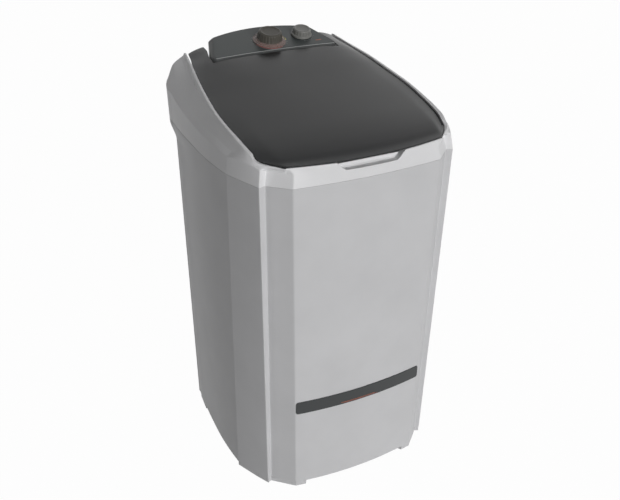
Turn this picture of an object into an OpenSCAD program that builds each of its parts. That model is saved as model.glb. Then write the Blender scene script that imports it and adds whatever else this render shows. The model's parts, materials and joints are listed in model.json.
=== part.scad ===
// Semi-automatic washing machine with a hinged smoked lid and a rear control console.
// Millimetres, +Z up, front towards -Y, origin on the floor under the middle of the machine.

/* [Body] */
// Overall width, at the joint between cabinet and deck
body_w = 587; // [580:1:600]
// Overall depth, from the front panel's middle to the console's rear edge
body_d = 620; // [614:1:630]
// Height of the cabinet's top edge above the floor
cabinet_h = 868; // [840:2:900]
// Thickness of the moulded cabinet and deck walls
wall = 3; // [2.5:0.1:3.5]
// Height of the feet
foot_h = 12; // [10:1:16]
// Distance from the machine's middle to the cabinet's rear wall
rear_wall_y = 236; // [234:1:240]

/* [Front] */
// Width of the bowed front panel at the top
front_w = 378; // [370:1:384]
// How far the front panel bows forward in its middle
front_bow = 13; // [9:1:15]
// How far the front panel leans back from top to bottom
front_lean = 30; // [26:1:34]
// Height of the label strip
label_h = 36; // [30:1:44]
// Width of the label strip
label_w = 356; // [330:1:356]
// Height of the label strip's lower edge above the floor
label_z = 244; // [220:1:280]

/* [Deck and lid] */
// Height of the lid's front edge above the cabinet
lid_front_up = 46; // [43:1:49]
// Thickness of the lid
lid_t = 3; // [2.5:0.1:4]
// How far the lid's middle stands above its side edges
lid_crown = 17; // [14:1:19]
// Gap between the lid's edge and the rim round it
lid_gap = 1.5; // [1:0.1:2]
// Width of the raised rim round the lid
rim_w = 8; // [7:0.5:9]
// Height of the raised rim above the lid's edge
rim_h = 4; // [3:0.5:5]
// Width of the finger pocket under the lid's front edge
pocket_w = 150; // [120:2:170]
// Depth of the finger pocket
pocket_d = 20; // [16:1:24]
// Diameter of the hinge pins
hinge_pin_d = 6; // [5:0.5:7]
// Height of the hinge axis above the cabinet
hinge_up = 142; // [141:0.5:143]

/* [Console] */
// Width of the control panel along its front edge
console_w = 344; // [336:1:346]
// Height of the control panel's front edge above the cabinet
console_up = 157; // [155:1:160]
// Slope of the control panel, in degrees
panel_tilt = 14.7; // [13:0.1:15]
// Diameter of the timer knob's skirt
knob_d = 87; // [80:1:88]
// Height of the timer knob
knob_h = 30; // [26:1:30]
// Diameter of the selector knob
selector_d = 48; // [42:1:52]
// Distance of the selector knob from the machine's middle
selector_x = 98; // [94:1:104]
// Diameter of the two switch shafts
switch_shaft_d = 6; // [5:0.5:7]

/* [Tub] */
// Inner radius of the wash tub
tub_r = 226; // [215:1:230]
// Height of the tub's underside above the floor
tub_z = 250; // [240:1:270]
// Thickness of the tub's wall
tub_wall = 3; // [2.5:0.1:4]
// Diameter of the agitator
agitator_d = 330; // [280:2:360]
// Diameter of the drive shaft
shaft_d = 16; // [14:1:18]

/* [Drive] */
// Diameter of the driven pulley
driven_d = 220; // [200:2:230]
// Diameter of the motor's pulley
motor_pulley_d = 60; // [50:1:66]
// Distance of the motor's axis behind the machine's middle
motor_y = 150; // [146:1:152]
// Diameter of the motor
motor_d = 120; // [110:1:124]
// Diameter of the motor's shaft
motor_shaft_d = 12; // [10:1:14]
// Height of the belt's middle above the floor
belt_z = 150; // [148:0.5:152]
// Thickness of the belt
belt_t = 6; // [5:0.5:7]

/* [Water] */
// Outer diameter of the drain spigot
drain_d = 28; // [26:1:30]
// Outer diameter of the water inlet's thread
inlet_d = 26; // [24:0.5:27]

/* [Hidden] */
$fn = 64;

half_w = body_w / 2;
front_y = -body_d / 2;
rear_y = body_d / 2;
lid_front_z = cabinet_h + lid_front_up;
hinge_z = cabinet_h + hinge_up;
console_z = cabinet_h + console_up;
silver = [0.74, 0.75, 0.76];
dark = [0.26, 0.27, 0.28];
steel = [0.66, 0.67, 0.69];
white = [0.9, 0.91, 0.91];

// Clearances
run_gap = 0.05;
seat_gap = 0.3;

// Points of the right half of a body outline, from the front's middle to the rear's middle.
// The panel's bow is a parabola of six steps.
function mix(a, b, t) = a + (b - a) * t;
function bow(w, y, depth, n) = [for (i = [0:n]) [w * i / n, y - depth * (1 - pow(i / n, 2))]];

// Half outlines of the cabinet at its top and at the floor
chamfer_w = 47;
chamfer_d = 45;
rib_w = 15;
rear_corner = 30;
flare_z = cabinet_h - 40;
flare_top_z = cabinet_h - 9;
top_half = concat(
    bow(front_w / 2, front_y + 1 + front_bow, front_bow, 6),
    [
        [front_w / 2 + chamfer_w, front_y + 1 + front_bow + chamfer_d],
        [front_w / 2 + chamfer_w + rib_w, front_y + 1 + front_bow + chamfer_d - 6],
        [half_w - 30, -222],
        [half_w - 8, -153],
        [half_w - 2, -90],
        [half_w, -23],
        [half_w - 3, 60],
        [half_w - 7, 140],
        [half_w - 13, rear_y - 100],
        [half_w - 20, rear_y - 48],
        [half_w - 32, rear_y - 30],
        [150, rear_y - 24],
        [0, rear_y - 21]
    ]
);
bottom_half = concat(
    bow(front_w / 2 - 14, front_y + 1 + front_bow + front_lean, front_bow + 4, 6),
    [
        [front_w / 2 + chamfer_w - 11, front_y + 1 + front_bow + chamfer_d + 33],
        [front_w / 2 + chamfer_w + rib_w - 16, front_y + 1 + front_bow + chamfer_d + 28],
        [half_w - 42.5, -189.5],
        [half_w - 15, -122],
        [half_w - 12, -70],
        [half_w - 12, -10],
        [half_w - 17, 70],
        [half_w - 24, 145],
        [half_w - 32, rear_wall_y - rear_corner],
        [half_w - 41, rear_wall_y - rear_corner / 4],
        [half_w - 32 - rear_corner, rear_wall_y],
        [120, rear_wall_y],
        [0, rear_wall_y]
    ]
);

// A full ring made of a half outline and its mirror image, counter-clockwise from above
function full_ring(half) = let (n = len(half))
    concat([for (i = [0:n - 1]) half[i]], [for (i = [n - 2:-1:1]) [-half[i][0], half[i][1]]]);
function at_z(ring, z) = [for (p = ring) [p[0], p[1], z]];
// Inward step towards the machine's axis, square to an ellipse of the body's proportions
function inward(p, d) = let (v = [p[0], p[1] * 0.9], s = norm(v)) [p[0] - v[0] / s * d, p[1] - v[1] / s * d];
function inset_ring(ring, d) = [for (p = ring) inward(p, d)];
function level(t) = full_ring([for (i = [0:len(top_half) - 1]) mix(bottom_half[i], top_half[i], t)]);
// Level below the rear flare, where the rear wall is upright
function straight_level(z) = let (b = full_ring(bottom_half), t = level(z / cabinet_h), n = len(b))
    [for (i = [0:n - 1]) b[i][1] > 100 ? [mix(b[i][0], t[i][0], 0.7), b[i][1]] : t[i]];

// Closed loft of equal rings, with both end rings capped, or joined to each other when loop is true.
// With strip true, a ring runs along one side and back along the other, and its caps are strips between them.
module loft(rings, loop = false, strip = false) {
    n = len(rings[0]);
    m = len(rings);
    last = loop ? m - 1 : m - 2;
    pts = [for (r = rings) for (p = r) p];
    sides = [for (j = [0:last]) for (i = [0:n - 1])
        let (a = j * n + i, b = j * n + (i + 1) % n, k = (j + 1) % m, c = k * n + (i + 1) % n, d = k * n + i)
        each [[a, d, b], [b, d, c]]];
    flat_caps = [[for (i = [0:n - 1]) i], [for (i = [n - 1:-1:0]) (m - 1) * n + i]];
    strip_caps = [for (i = [0:n / 2 - 2]) let (b = (m - 1) * n, c = n - 2 - i, d = n - 1 - i)
        each [[i, i + 1, c], [i, c, d], [b + i, b + c, b + i + 1], [b + i, b + d, b + c]]];
    caps = loop ? [] : strip ? strip_caps : flat_caps;
    polyhedron(points = pts, faces = concat(sides, caps), convexity = 10);
}

// Body panels

cabinet_rings = [
    straight_level(foot_h),
    straight_level(flare_z),
    level(flare_top_z / cabinet_h),
    full_ring(top_half)
];
cabinet_z = [foot_h, flare_z, flare_top_z, cabinet_h];
boss_z = 150;
boss_h = 20;
boss_w = 34;
rail_y = 110;
front_boss_x = half_w - 15.2;
rear_boss_x = half_w - 21;
screw_r = 2;

// Rear openings of the cabinet
cover_x = 25;
cover_w = 260;
cover_h = 230;
cover_z = 70;
drain_x = -140;
drain_z = 110;
gland_x = 190;
gland_z = 120;
gland_r = 8;

module cabinet_boss(y, end_x) {
    difference() {
        translate([end_x - 34, y - boss_w / 2, boss_z]) cube([34, boss_w, boss_h]);
        translate([end_x - 16, y, boss_z - 1]) cylinder(r = screw_r, h = boss_h + 2);
    }
}

module cabinet() {
    color(silver)
    difference() {
        union() {
            loft([
                for (k = [0:3]) at_z(cabinet_rings[k], cabinet_z[k]),
                for (k = [3:-1:0]) at_z(inset_ring(cabinet_rings[k], wall), cabinet_z[k])
            ], loop = true);
            for (side = [0, 1]) mirror([side, 0, 0]) {
                cabinet_boss(-rail_y, front_boss_x);
                cabinet_boss(rail_y, rear_boss_x);
            }
        }
        translate([cover_x - cover_w / 2 + 12, rear_wall_y - 20, cover_z + 12])
            cube([cover_w - 24, 40, cover_h - 24]);
        for (x = [-1, 1]) for (z = [cover_z + 6, cover_z + cover_h - 6])
            translate([cover_x + x * (cover_w / 2 - 6), rear_wall_y - 20, z]) rotate([-90, 0, 0])
                cylinder(r = screw_r, h = 40);
        translate([drain_x, rear_wall_y - 20, drain_z]) rotate([-90, 0, 0]) cylinder(d = drain_d + 0.2, h = 40);
        translate([gland_x, rear_wall_y - 20, gland_z]) rotate([-90, 0, 0]) cylinder(r = gland_r, h = 40);
        for (x = [-deck_tab_x, deck_tab_x]) translate([x, deck_tab_y - 10, deck_screw_z]) rotate([-90, 0, 0])
            cylinder(r = screw_r, h = 20);
    }
}

// A screw along +Z from its head's underside down: pan head above, shank below
module screw(shank_r, length, head_r = 4, head_h = 2.4) {
    union() {
        cylinder(r = head_r, h = head_h);
        translate([0, 0, -length]) cylinder(r = shank_r, h = length + 1);
    }
}

module rear_access_cover() {
    color(silver)
    translate([cover_x, rear_wall_y, cover_z])
    difference() {
        union() {
            translate([-cover_w / 2, 0, 0]) cube([cover_w, 3, cover_h]);
            for (k = [0:5]) translate([-cover_w / 2 + 50, 3, 60 + k * 22]) cube([cover_w - 100, 2, 8]);
        }
        for (x = [-1, 1]) for (z = [6, cover_h - 6])
            translate([x * (cover_w / 2 - 6), -1, z]) rotate([-90, 0, 0]) cylinder(r = screw_r, h = 6);
    }
}

module rear_cover_screws() {
    color(steel)
    for (x = [-1, 1]) for (z = [cover_z + 6, cover_z + cover_h - 6])
        translate([cover_x + x * (cover_w / 2 - 6), rear_wall_y + 3, z]) rotate([-90, 0, 0])
            screw(screw_r - run_gap, 9);
}

// Corner pads: each follows the cabinet's bottom edge and reaches in by foot_depth
foot_depth = 32;
front_foot_x = 148;

module foot(ring_points) {
    inner = [for (i = [len(ring_points) - 1:-1:0]) inward(ring_points[i], foot_depth)];
    linear_extrude(foot_h) polygon(concat([for (p = ring_points) inward(p, 1)], inner));
}

module feet() {
    base = straight_level(foot_h);
    color(silver * 0.95)
    for (side = [0, 1]) mirror([side, 0, 0]) {
        foot([[front_foot_x, mix(base[5], base[6], 0.08)[1]], base[6], base[7], base[8], base[9], base[10]]);
        foot([base[14], base[15], base[16], base[17], [front_foot_x, rear_wall_y]]);
    }
}

// Dark curved strip low on the front panel, tilted as the panel leans
label_t = 2;
label_gap = 0.5;
label_steps = 12;
function front_surface_y(x, z) = let (t = z / cabinet_h, hw = front_w / 2 - 14 * (1 - t),
    depth = front_bow + 4 * (1 - t))
    front_y + 1 + front_bow + front_lean * (1 - t) - depth * (1 - pow(x / hw, 2));

module front_label_strip() {
    face = [for (i = [0:label_steps]) let (x = label_w * (i / label_steps - 0.5))
        [x, front_surface_y(x, label_z)]];
    rise = front_surface_y(0, label_z) - front_surface_y(0, label_z + label_h);
    color([0.28, 0.28, 0.29])
    translate([0, 0, label_z]) multmatrix([[1, 0, 0, 0], [0, 1, -rise / label_h, 0], [0, 0, 1, 0]])
        linear_extrude(label_h) polygon(concat(
            [for (p = face) p - [0, label_gap + label_t]],
            [for (i = [label_steps:-1:0]) face[i] - [0, label_gap]]
        ));
}

// Deck: one closed profile per outline point, swept round the machine.
// lid_edge: outline of the lid with the height of its edge, front to rear, right half
tub_y = -34;
tub_top = cabinet_h + 12;
flange_r = tub_r + 24;
platform_z = cabinet_h + 117;
rear_top_z = cabinet_h + 124;
lz = lid_front_z;
lid_edge = concat(
    [for (i = [0:6]) [191.5 * i / 6, front_y + 26 - 25.5 * (1 - pow(i / 6, 2)), lz]],
    [
        [214, -262, lz],
        [235, -236, lz + 1],
        [243.5, -207, lz + 13],
        [249.5, -158, lz + 27],
        [253, -98, lz + 39],
        [253.4, -38, lz + 50.6],
        [246, 44, lz + 65.5],
        [235, 130, lz + 82],
        [222, rear_y - 105, lz + 94],
        [210.5, rear_y - 29, lz + 106],
        [200, rear_y - 19, rear_top_z],
        [120, rear_y - 14, platform_z + 0.3],
        [0, rear_y - 9, platform_z + 0.3]
    ]
);
// Height of the crease between the deck's upright skirt and its shoulder
crease_up = [32, 32, 32, 32, 32, 32, 32, 33, 38, 46, 40, 46, 48, 52, 62, 77, 87, 92, 92, 92];
crease_z = [for (h = crease_up) cabinet_h + h];
// How far the crease stands in from the joint line
crease_in = [0, 0, 0, 1, 3, 6, 8, 10, 8, 4, 6, 6, 6, 5, 3, 0, -3, -6, -4, -4];
// 1 where the deck stands beside the lid's edge, 0 where the lid lies over the deck's band
beside = [0, 0, 0, 0, 0, 0, 0, 1, 1, 1, 1, 1, 1, 1, 1, 1, 1, 0, 0, 0];
// Share of the rim's full height
rim = [0, 0, 0, 0, 0, 0, 0, 0, 0.5, 1, 1, 1, 1, 1, 1, 1, 1, 0, 0, 0];
rim_share = [0, 0, 0, 0, 0, 0, 0, 0.2, 1, 1.5, 1.5, 1.2, 1, 1, 1, 1, 1, 0, 0, 0];
// How far the shoulder's middle stands out and up from the straight line between crease and rim
shoulder_out = [0, 0, 0, 0, 0, 0, 0, 0, 0, 0, -4, -4, -4, -4, -3, 0, 5, 6, 0, 0];
shoulder_up = [0, 0, 0, 0, 0, 0, 0, 0, 0, 0, 0, 0, 0, 0, 0, 6, 15, 18, 4, 0];
ledge_drop = 9;
ledge_z = [for (i = [0:19]) i > 14 ? platform_z : i < 8 ? lz - ledge_drop : lid_edge[i][2] - ledge_drop];
opening_edge = concat(
    [for (i = [0:6]) [165 * i / 6, -262 + 15 * pow(i / 6, 2)]],
    [[190, -228], [205, -208], [212, -186], [219, -148], [225, -92], [227, -34], [221, 40], [208, 108],
    [186, 158], [165, 172], [140, 180], [80, 186], [0, 190]]
);
function opening_z(i) = i > 14 ? platform_z : ledge_z[i] - 5;

function outward(p, d) = inward(p, -d);
function lift(p, z) = [p[0], p[1], z];
function tub_point(i, r) = let (o = opening_edge[i], a = atan2(o[1] - tub_y, o[0]))
    [r * cos(a), tub_y + r * sin(a)];
function shoulder(i, crease, foot) = let (m = mix(crease, foot, 0.5))
    lift(outward(m, shoulder_out[i]), m[2] + shoulder_up[i]);
function deck_profile(i) = let (
    j = top_half[i],
    e = lid_edge[i],
    o = opening_edge[i],
    b = beside[i],
    r = rim_share[i] * rim_w,
    top = e[2] - 0.3 + rim[i] * rim_h,
    apex_z = e[2] - (b > 0 ? 7 : ledge_drop + wall),
    crease = lift(inward(j, crease_in[i]), crease_z[i]),
    foot = lift(outward(e, b * lid_gap + r + 0.5), e[2] - 3),
    s = shoulder(i, crease, foot)
) [
    lift(j, cabinet_h + 0.2),
    crease,
    s,
    foot,
    lift(outward(e, b * lid_gap + r * 0.75), top),
    lift(inward(e, 3 - b * (3 + lid_gap - 0.3)), top),
    lift(inward(e, 3.2 - b * (3.2 + lid_gap - 0.5)), ledge_z[i]),
    lift(o, opening_z(i)),
    lift(tub_point(i, tub_r), tub_top + 12),
    lift(tub_point(i, tub_r), tub_top),
    lift(tub_point(i, flange_r), tub_top),
    lift(tub_point(i, flange_r), tub_top + 4),
    lift(tub_point(i, tub_r + wall), tub_top + 4),
    lift(outward(o, wall), opening_z(i) - wall - 1),
    lift(inward(e, 6 - b * (6 + lid_gap - 0.5)), ledge_z[i] - wall),
    lift(inward(e, 3.5 - b * (lid_gap + r)), apex_z),
    lift(inward(s, wall), min(s[2] - 1, apex_z - 0.5)),
    lift(inward(crease, wall), crease_z[i] - 1),
    lift(inward(j, wall), cabinet_h + 0.2)
];
deck_profiles = [for (i = [0:19]) deck_profile(i)];
deck_rings = [for (k = [0:len(deck_profiles[0]) - 1]) concat(
    [for (i = [0:19]) deck_profiles[i][k]],
    [for (i = [18:-1:1]) let (p = deck_profiles[i][k]) [-p[0], p[1], p[2]]]
)];

// Hinge
hinge_y = 270;
post_span = [157, 165];
ear_span = [166.5, 199.5];
pin_end = 201;
barrel_r = 6;

// Water inlet and its spout
inlet_x = 100;
inlet_z = cabinet_h + 57;

// Timer side hole for the wiring
harness_x = -92;
harness_y = 224;
harness_r = 4;

// Screws through the tub's flange
tub_screw_r = tub_r + 14;
tub_screw_angles = [0, 60, 120, 180, 240, 300];

// Console screws and deck screws
console_screw_x = 128;
console_screw_y = [206, 268];
deck_tab_x = top_half[18][0];
deck_tab_y = top_half[18][1];
deck_screw_z = cabinet_h - 4.2;

pocket_half = pocket_w / 2;
pocket_shape = [
    [-pocket_half - 13, lz + 4], [-pocket_half - 13, lz], [-pocket_half - 9, lz - pocket_d * 0.35],
    [-pocket_half, lz - pocket_d * 0.8], [-pocket_half + 10, lz - pocket_d],
    [pocket_half - 10, lz - pocket_d], [pocket_half, lz - pocket_d * 0.8],
    [pocket_half + 9, lz - pocket_d * 0.35], [pocket_half + 13, lz], [pocket_half + 13, lz + 4]
];
pocket_back = front_y + 20;
// Block round the pocket, from inside the front skin to behind the pocket's back, under the ledge
liner_half = pocket_half + 18;
liner_y = front_y + 5;
liner_z = lz - pocket_d - wall - 1;
liner_h = lz - ledge_drop - wall / 2 - liner_z;

module hinge_post() {
    translate([post_span[0], hinge_y - 9, platform_z - 2])
        cube([post_span[1] - post_span[0], 18, hinge_z + barrel_r - platform_z + 2]);
}

module top_deck() {
    color(silver)
    difference() {
        union() {
            loft(deck_rings, loop = true);
            translate([-liner_half, liner_y, liner_z])
                cube([2 * liner_half, pocket_back + wall - liner_y, liner_h]);
            for (side = [0, 1]) mirror([side, 0, 0]) {
                hinge_post();
                translate([deck_tab_x - 10, deck_tab_y - 14, cabinet_h - 7.5]) cube([20, 10, 18]);
                translate([deck_tab_x - 10, deck_tab_y - 14, cabinet_h + 0.5]) cube([20, 12.5, 10]);
            }
        }
        for (x = [-deck_tab_x, deck_tab_x]) translate([x, deck_tab_y - 20, deck_screw_z]) rotate([-90, 0, 0])
            cylinder(r = screw_r, h = 20);
        translate([0, pocket_back, 0]) rotate([90, 0, 0]) linear_extrude(40) polygon(pocket_shape);
        translate([-post_span[1] - 1, hinge_y, hinge_z]) rotate([0, 90, 0])
            cylinder(r = hinge_pin_d / 2 + run_gap, h = 2 * post_span[1] + 2);
        translate([inlet_x, 160, inlet_z]) rotate([-90, 0, 0]) cylinder(d = inlet_d + 0.2, h = 160);
        translate([harness_x, harness_y, platform_z - 30]) cylinder(r = harness_r + 1, h = 40);
        for (a = tub_screw_angles) translate([tub_screw_r * cos(a), tub_y + tub_screw_r * sin(a), tub_top - 1])
            cylinder(r = screw_r, h = 6);
        for (x = [-1, 1]) for (y = console_screw_y) translate([x * console_screw_x, y, platform_z - 8])
            cylinder(r = screw_r, h = 16);
    }
}

// Lid: rows of points from the front edge to the ears, cut by the console's notch
lid_rows = [8, 8.5, 9, 10, 11, 12, 13, 14, 15, 15.66, 16];
// Share of the front edge's curve that each row keeps, share of the crown, how squarely the crown falls to the
// sides, and relief of the edge by the hinge
lid_pull = [1, 0.95, 0.86, 0.62, 0.4, 0.24, 0.12, 0.05, 0.02, 0, 0];
lid_rise = [0, 0.15, 0.24, 0.47, 0.65, 0.77, 0.95, 1.1, 1.2, 1.1, 1];
lid_square = [2, 2, 2, 2, 2, 2.2, 2.8, 4, 6, 6, 6];
lid_relief = [0, 0, 0, 0, 0, 0, 0, 0, 0, 3.1, 3];
lid_cols = [0, 0.17, 0.34, 0.51, 0.68, 0.815, 0.91, 0.975, 0.98, 1];
ear_y = 279;
skirt_h = 8;
function edge_at(k) = k == floor(k) ? lid_edge[k] : mix(lid_edge[floor(k)], lid_edge[ceil(k)], k - floor(k));
// The front edge's curve as a function of x
function lid_front_y(x) = let (a = abs(x), c = lid_edge[6], f = lid_edge[8])
    a < c[0] ? c[1] - 25.5 * (1 - pow(a / c[0], 2)) : a < 214 ? mix(c[1], -262, (a - c[0]) / (214 - c[0]))
    : mix(-262, f[1], (a - 214) / (f[0] - 214));
function lid_point(r, u) = let (e = edge_at(lid_rows[r]), f = lid_edge[8],
    y = r == len(lid_rows) - 1 ? ear_y : e[1])
    [(e[0] - lid_relief[r]) * u, y + lid_pull[r] * (lid_front_y(f[0] * u) - f[1]),
    e[2] + (r == 0 ? lid_t : 0) + lid_rise[r] * lid_crown * (1 - pow(abs(u), lid_square[r]))];
function lid_depth(r, u) = r > 2 && r < 8 && abs(u) > 0.976 ? skirt_h : lid_t;
lid_us = concat([for (i = [9:-1:1]) -lid_cols[i]], lid_cols);
function lid_ring(r) = [
    for (u = lid_us) let (p = lid_point(r, u)) [p[0], p[1], p[2] - lid_depth(r, u)],
    for (i = [len(lid_us) - 1:-1:0]) lid_point(r, lid_us[i])
];
// Height of the lid's top surface above the hinge axis line, at x
function ear_top(x) = let (a = lid_point(9, x / lid_point(9, 1)[0]),
    b = lid_point(10, x / lid_point(10, 1)[0]))
    mix(a[2], b[2], (hinge_y - a[1]) / (b[1] - a[1]));
ear_ribs = 4;
rib_l = (ear_span[1] - ear_span[0]) / ear_ribs;
notch_w = console_w / 2 + 5;
notch_y = 177;
notch_x = post_span[1] + 0.8;

module lid() {
    color([0.2, 0.21, 0.22, 0.8])
    difference() {
        union() {
            loft([for (r = [len(lid_rows) - 1:-1:0]) lid_ring(r)], strip = true);
            for (side = [0, 1]) mirror([side, 0, 0]) {
                translate([ear_span[0], hinge_y, hinge_z]) rotate([0, 90, 0])
                    cylinder(r = barrel_r, h = ear_span[1] - ear_span[0]);
                for (k = [0:ear_ribs - 1]) let (x = ear_span[0] + k * rib_l) translate([x, hinge_y - 4, hinge_z])
                    cube([rib_l, 8, ear_top(x + rib_l / 2) - lid_t / 2 - hinge_z]);
            }
        }
        translate([0, 0, platform_z - 20]) linear_extrude(100) polygon([
            [-notch_w, notch_y], [-60, notch_y + 2], [0, notch_y + 3], [60, notch_y + 2], [notch_w, notch_y],
            [notch_w - 1, ear_y - 72], [notch_x, ear_y - 30], [notch_x, ear_y + 10],
            [-notch_x, ear_y + 10], [-notch_x, ear_y - 30], [-notch_w + 1, ear_y - 72]
        ]);
        for (side = [0, 1]) mirror([side, 0, 0])
            translate([ear_span[0] - 1, hinge_y, hinge_z]) rotate([0, 90, 0])
                cylinder(r = hinge_pin_d / 2 + run_gap, h = ear_span[1] - ear_span[0] + 2);
    }
}

module hinge_pins() {
    color(steel)
    for (side = [0, 1]) mirror([side, 0, 0])
        translate([post_span[0], hinge_y, hinge_z]) rotate([0, 90, 0])
            cylinder(r = hinge_pin_d / 2, h = pin_end - post_span[0]);
}

// Control console: a hollow housing on the deck's rear platform, its top face tilted towards the front
console_front_y = 182;
console_front_bow = 6;
console_rear_y = 285;
console_rear_w = 274;
console_rear_bow = rear_y - console_rear_y;
side_flare = 11;
side_drop = 9;
console_wall = 3;
function panel_z(y) = console_z + (y - console_front_y) * tan(panel_tilt);
// Plan outline: grown sideways, cut back at the front and rear, and flared towards the rear
function console_outline(grow, cut, flare = 0) = let (
    fw = console_w / 2 + grow, rw = console_rear_w / 2 + grow + flare,
    side = [[fw + flare * 0.2, console_front_y + 7], [fw - 2 + flare * 0.3, console_front_y + 20],
        [rw + 3, console_rear_y - 8]]
) concat(
    [for (i = [-6:6]) [fw * i / 6.3, console_front_y + cut + console_front_bow * (1 - pow(i / 6, 2))]],
    side,
    [for (i = [6:-1:-6]) [rw * i / 6, console_rear_y - cut + console_rear_bow * (1 - pow(i / 6, 2))]],
    [for (i = [2:-1:0]) [-side[i][0], side[i][1]]]
);
function on_panel(pts, drop) = [for (p = pts) [p[0], p[1], panel_z(p[1]) - drop]];
function console_base(pts, back) = [for (p = pts) [p[0], min(p[1], console_rear_y + 8 - back), platform_z]];

// Places children on the panel, with +Z along the panel's outward normal
module at_panel(x, y) {
    translate([x, y, panel_z(y)]) rotate([panel_tilt, 0, 0]) children();
}

timer_y = 235;
selector_y = 242;
timer_x = 2;

module control_console() {
    outer = console_outline(0, 0);
    flared = console_outline(0, 0, side_flare);
    inner = console_outline(-console_wall - 3, console_wall);
    color(dark)
    difference() {
        loft([console_base(flared, 0), on_panel(flared, side_drop), on_panel(outer, 0)]);
        loft([
            [for (p = console_base(console_outline(-console_wall, console_wall, side_flare), console_wall))
                p - [0, 0, 1]],
            on_panel(inner, console_wall + 1)
        ]);
        at_panel(timer_x, timer_y) translate([0, 0, -12]) cylinder(d = switch_shaft_d + 3, h = 20);
        at_panel(selector_x, selector_y) translate([0, 0, -12]) cylinder(d = switch_shaft_d + 3, h = 20);
    }
    console_bosses();
}

// Bosses for the console's screws, which come up through the deck's platform
module console_bosses() {
    color(dark)
    for (x = [-1, 1]) for (y = console_screw_y) translate([x * console_screw_x, y, platform_z]) difference() {
        cylinder(r = 6, h = panel_z(y) - platform_z - 2);
        translate([0, 0, -1]) cylinder(r = screw_r, h = 14);
    }
}

module console_screws() {
    color(steel)
    for (x = [-1, 1]) for (y = console_screw_y)
        translate([x * console_screw_x, y, platform_z - wall - 1.2]) mirror([0, 0, 1])
            screw(screw_r - run_gap, 12);
}

// An outline in plan view as a plate of thickness t that lies lift above the panel
module panel_plate(outline, lift, t) {
    translate([0, console_front_y, console_z]) rotate([panel_tilt, 0, 0]) translate([0, 0, lift])
        linear_extrude(t)
        polygon([for (p = outline) [p[0], (p[1] - console_front_y) / cos(panel_tilt)]]);
}

// Printed skin on the panel, inside the housing's edge
fascia_t = 0.8;
module console_fascia() {
    color([0.22, 0.23, 0.24])
    difference() {
        panel_plate(console_outline(-5, 6), run_gap, fascia_t);
        at_panel(timer_x, timer_y) translate([0, 0, -4]) cylinder(d = switch_shaft_d + 3, h = 10);
        at_panel(selector_x, selector_y) translate([0, 0, -4]) cylinder(d = switch_shaft_d + 3, h = 10);
    }
}

// Thin pale line along the panel's front edge
trim_t = 1.2;
trim_span = [1.5, 4.5];
module console_trim() {
    front = [for (i = [-12:12])
        [console_w / 2 * i / 12.4, console_front_y + console_front_bow * (1 - pow(i / 12, 2))]];
    color([0.62, 0.63, 0.64])
    panel_plate(
        concat([for (p = front) p + [0, trim_span[0]]], [for (i = [24:-1:0]) front[i] + [0, trim_span[1]]]),
        seat_gap, trim_t);
}

// Spring timer and its shaft
timer_size = [58, 46, 24];
module timer_unit() {
    color([0.82, 0.8, 0.72])
    at_panel(timer_x, timer_y) difference() {
        union() {
            translate([-timer_size[0] / 2, -timer_size[1] / 2, -console_wall * 2 - timer_size[2]])
                cube(timer_size);
            translate([0, 0, -console_wall * 2 - 1]) cylinder(d = switch_shaft_d + 2.6, h = 5);
        }
        translate([0, 0, -30]) cylinder(d = switch_shaft_d + 2 * run_gap, h = 40);
    }
}

module timer_shaft() {
    color(steel)
    at_panel(timer_x, timer_y) translate([0, 0, -28]) cylinder(d = switch_shaft_d, h = 28 + knob_h * 0.6);
}

knob_lift = 2;
skirt_t = 7;
cap_d = knob_d * 0.75;
core_top = knob_h - 6;
module timer_knob() {
    color([0.42, 0.42, 0.4])
    at_panel(timer_x, timer_y) difference() {
        union() {
            translate([0, 0, knob_lift]) cylinder(d = knob_d, h = 3);
            translate([0, 0, knob_lift + 3]) cylinder(d1 = knob_d - 3, d2 = cap_d, h = skirt_t - 3);
            translate([0, 0, knob_lift + 1]) cylinder(d = cap_d - 4, h = core_top - knob_lift - 1);
        }
        translate([0, 0, 1]) cylinder(d = switch_shaft_d + 2 * run_gap, h = knob_h * 0.6);
        translate([0, 0, knob_lift - 1]) rotate_extrude() translate([8, 0]) square([cap_d / 2 - 14, 8]);
    }
}

// Translucent grip over the timer knob's core
module timer_knob_cap() {
    grip_h = knob_h - knob_lift;
    color([0.5, 0.48, 0.46, 0.7])
    at_panel(timer_x, timer_y) translate([0, 0, knob_lift]) difference() {
        union() {
            translate([0, 0, skirt_t + 0.3]) cylinder(d = cap_d, h = grip_h - skirt_t - 2);
            translate([0, 0, grip_h - 1.7]) cylinder(d1 = cap_d, d2 = cap_d - 5, h = 1.7);
            for (a = [0:15:345]) rotate(a) translate([cap_d / 2 - 0.4, 0, skirt_t + 1])
                cylinder(r = 1.6, h = grip_h - skirt_t - 5);
        }
        translate([0, 0, 1]) cylinder(d = cap_d - 4 + 2 * run_gap, h = core_top - knob_lift - 1 + seat_gap);
    }
}

// Coloured marking ring fixed to the panel under the translucent skirt
dial_t = 0.8;
module timer_dial() {
    color([0.8, 0.3, 0.22])
    at_panel(timer_x, timer_y) translate([0, 0, knob_lift - seat_gap - dial_t]) difference() {
        cylinder(d = knob_d, h = dial_t);
        translate([0, 0, -1]) cylinder(d = cap_d, h = 3);
    }
}

selector_size = [34, 30, 22];
selector_h = 20;
module selector_switch() {
    color([0.24, 0.24, 0.26])
    at_panel(selector_x, selector_y) difference() {
        union() {
            translate([-selector_size[0] / 2, -selector_size[1] / 2, -console_wall * 2 - selector_size[2]])
                cube(selector_size);
            translate([0, 0, -console_wall * 2 - 1]) cylinder(d = switch_shaft_d + 2.6, h = 5);
        }
        translate([0, 0, -28]) cylinder(d = switch_shaft_d + 2 * run_gap, h = 40);
    }
}

module selector_shaft() {
    color(steel)
    at_panel(selector_x, selector_y) translate([0, 0, -26])
        cylinder(d = switch_shaft_d, h = 26 + selector_h * 0.6);
}

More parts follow.
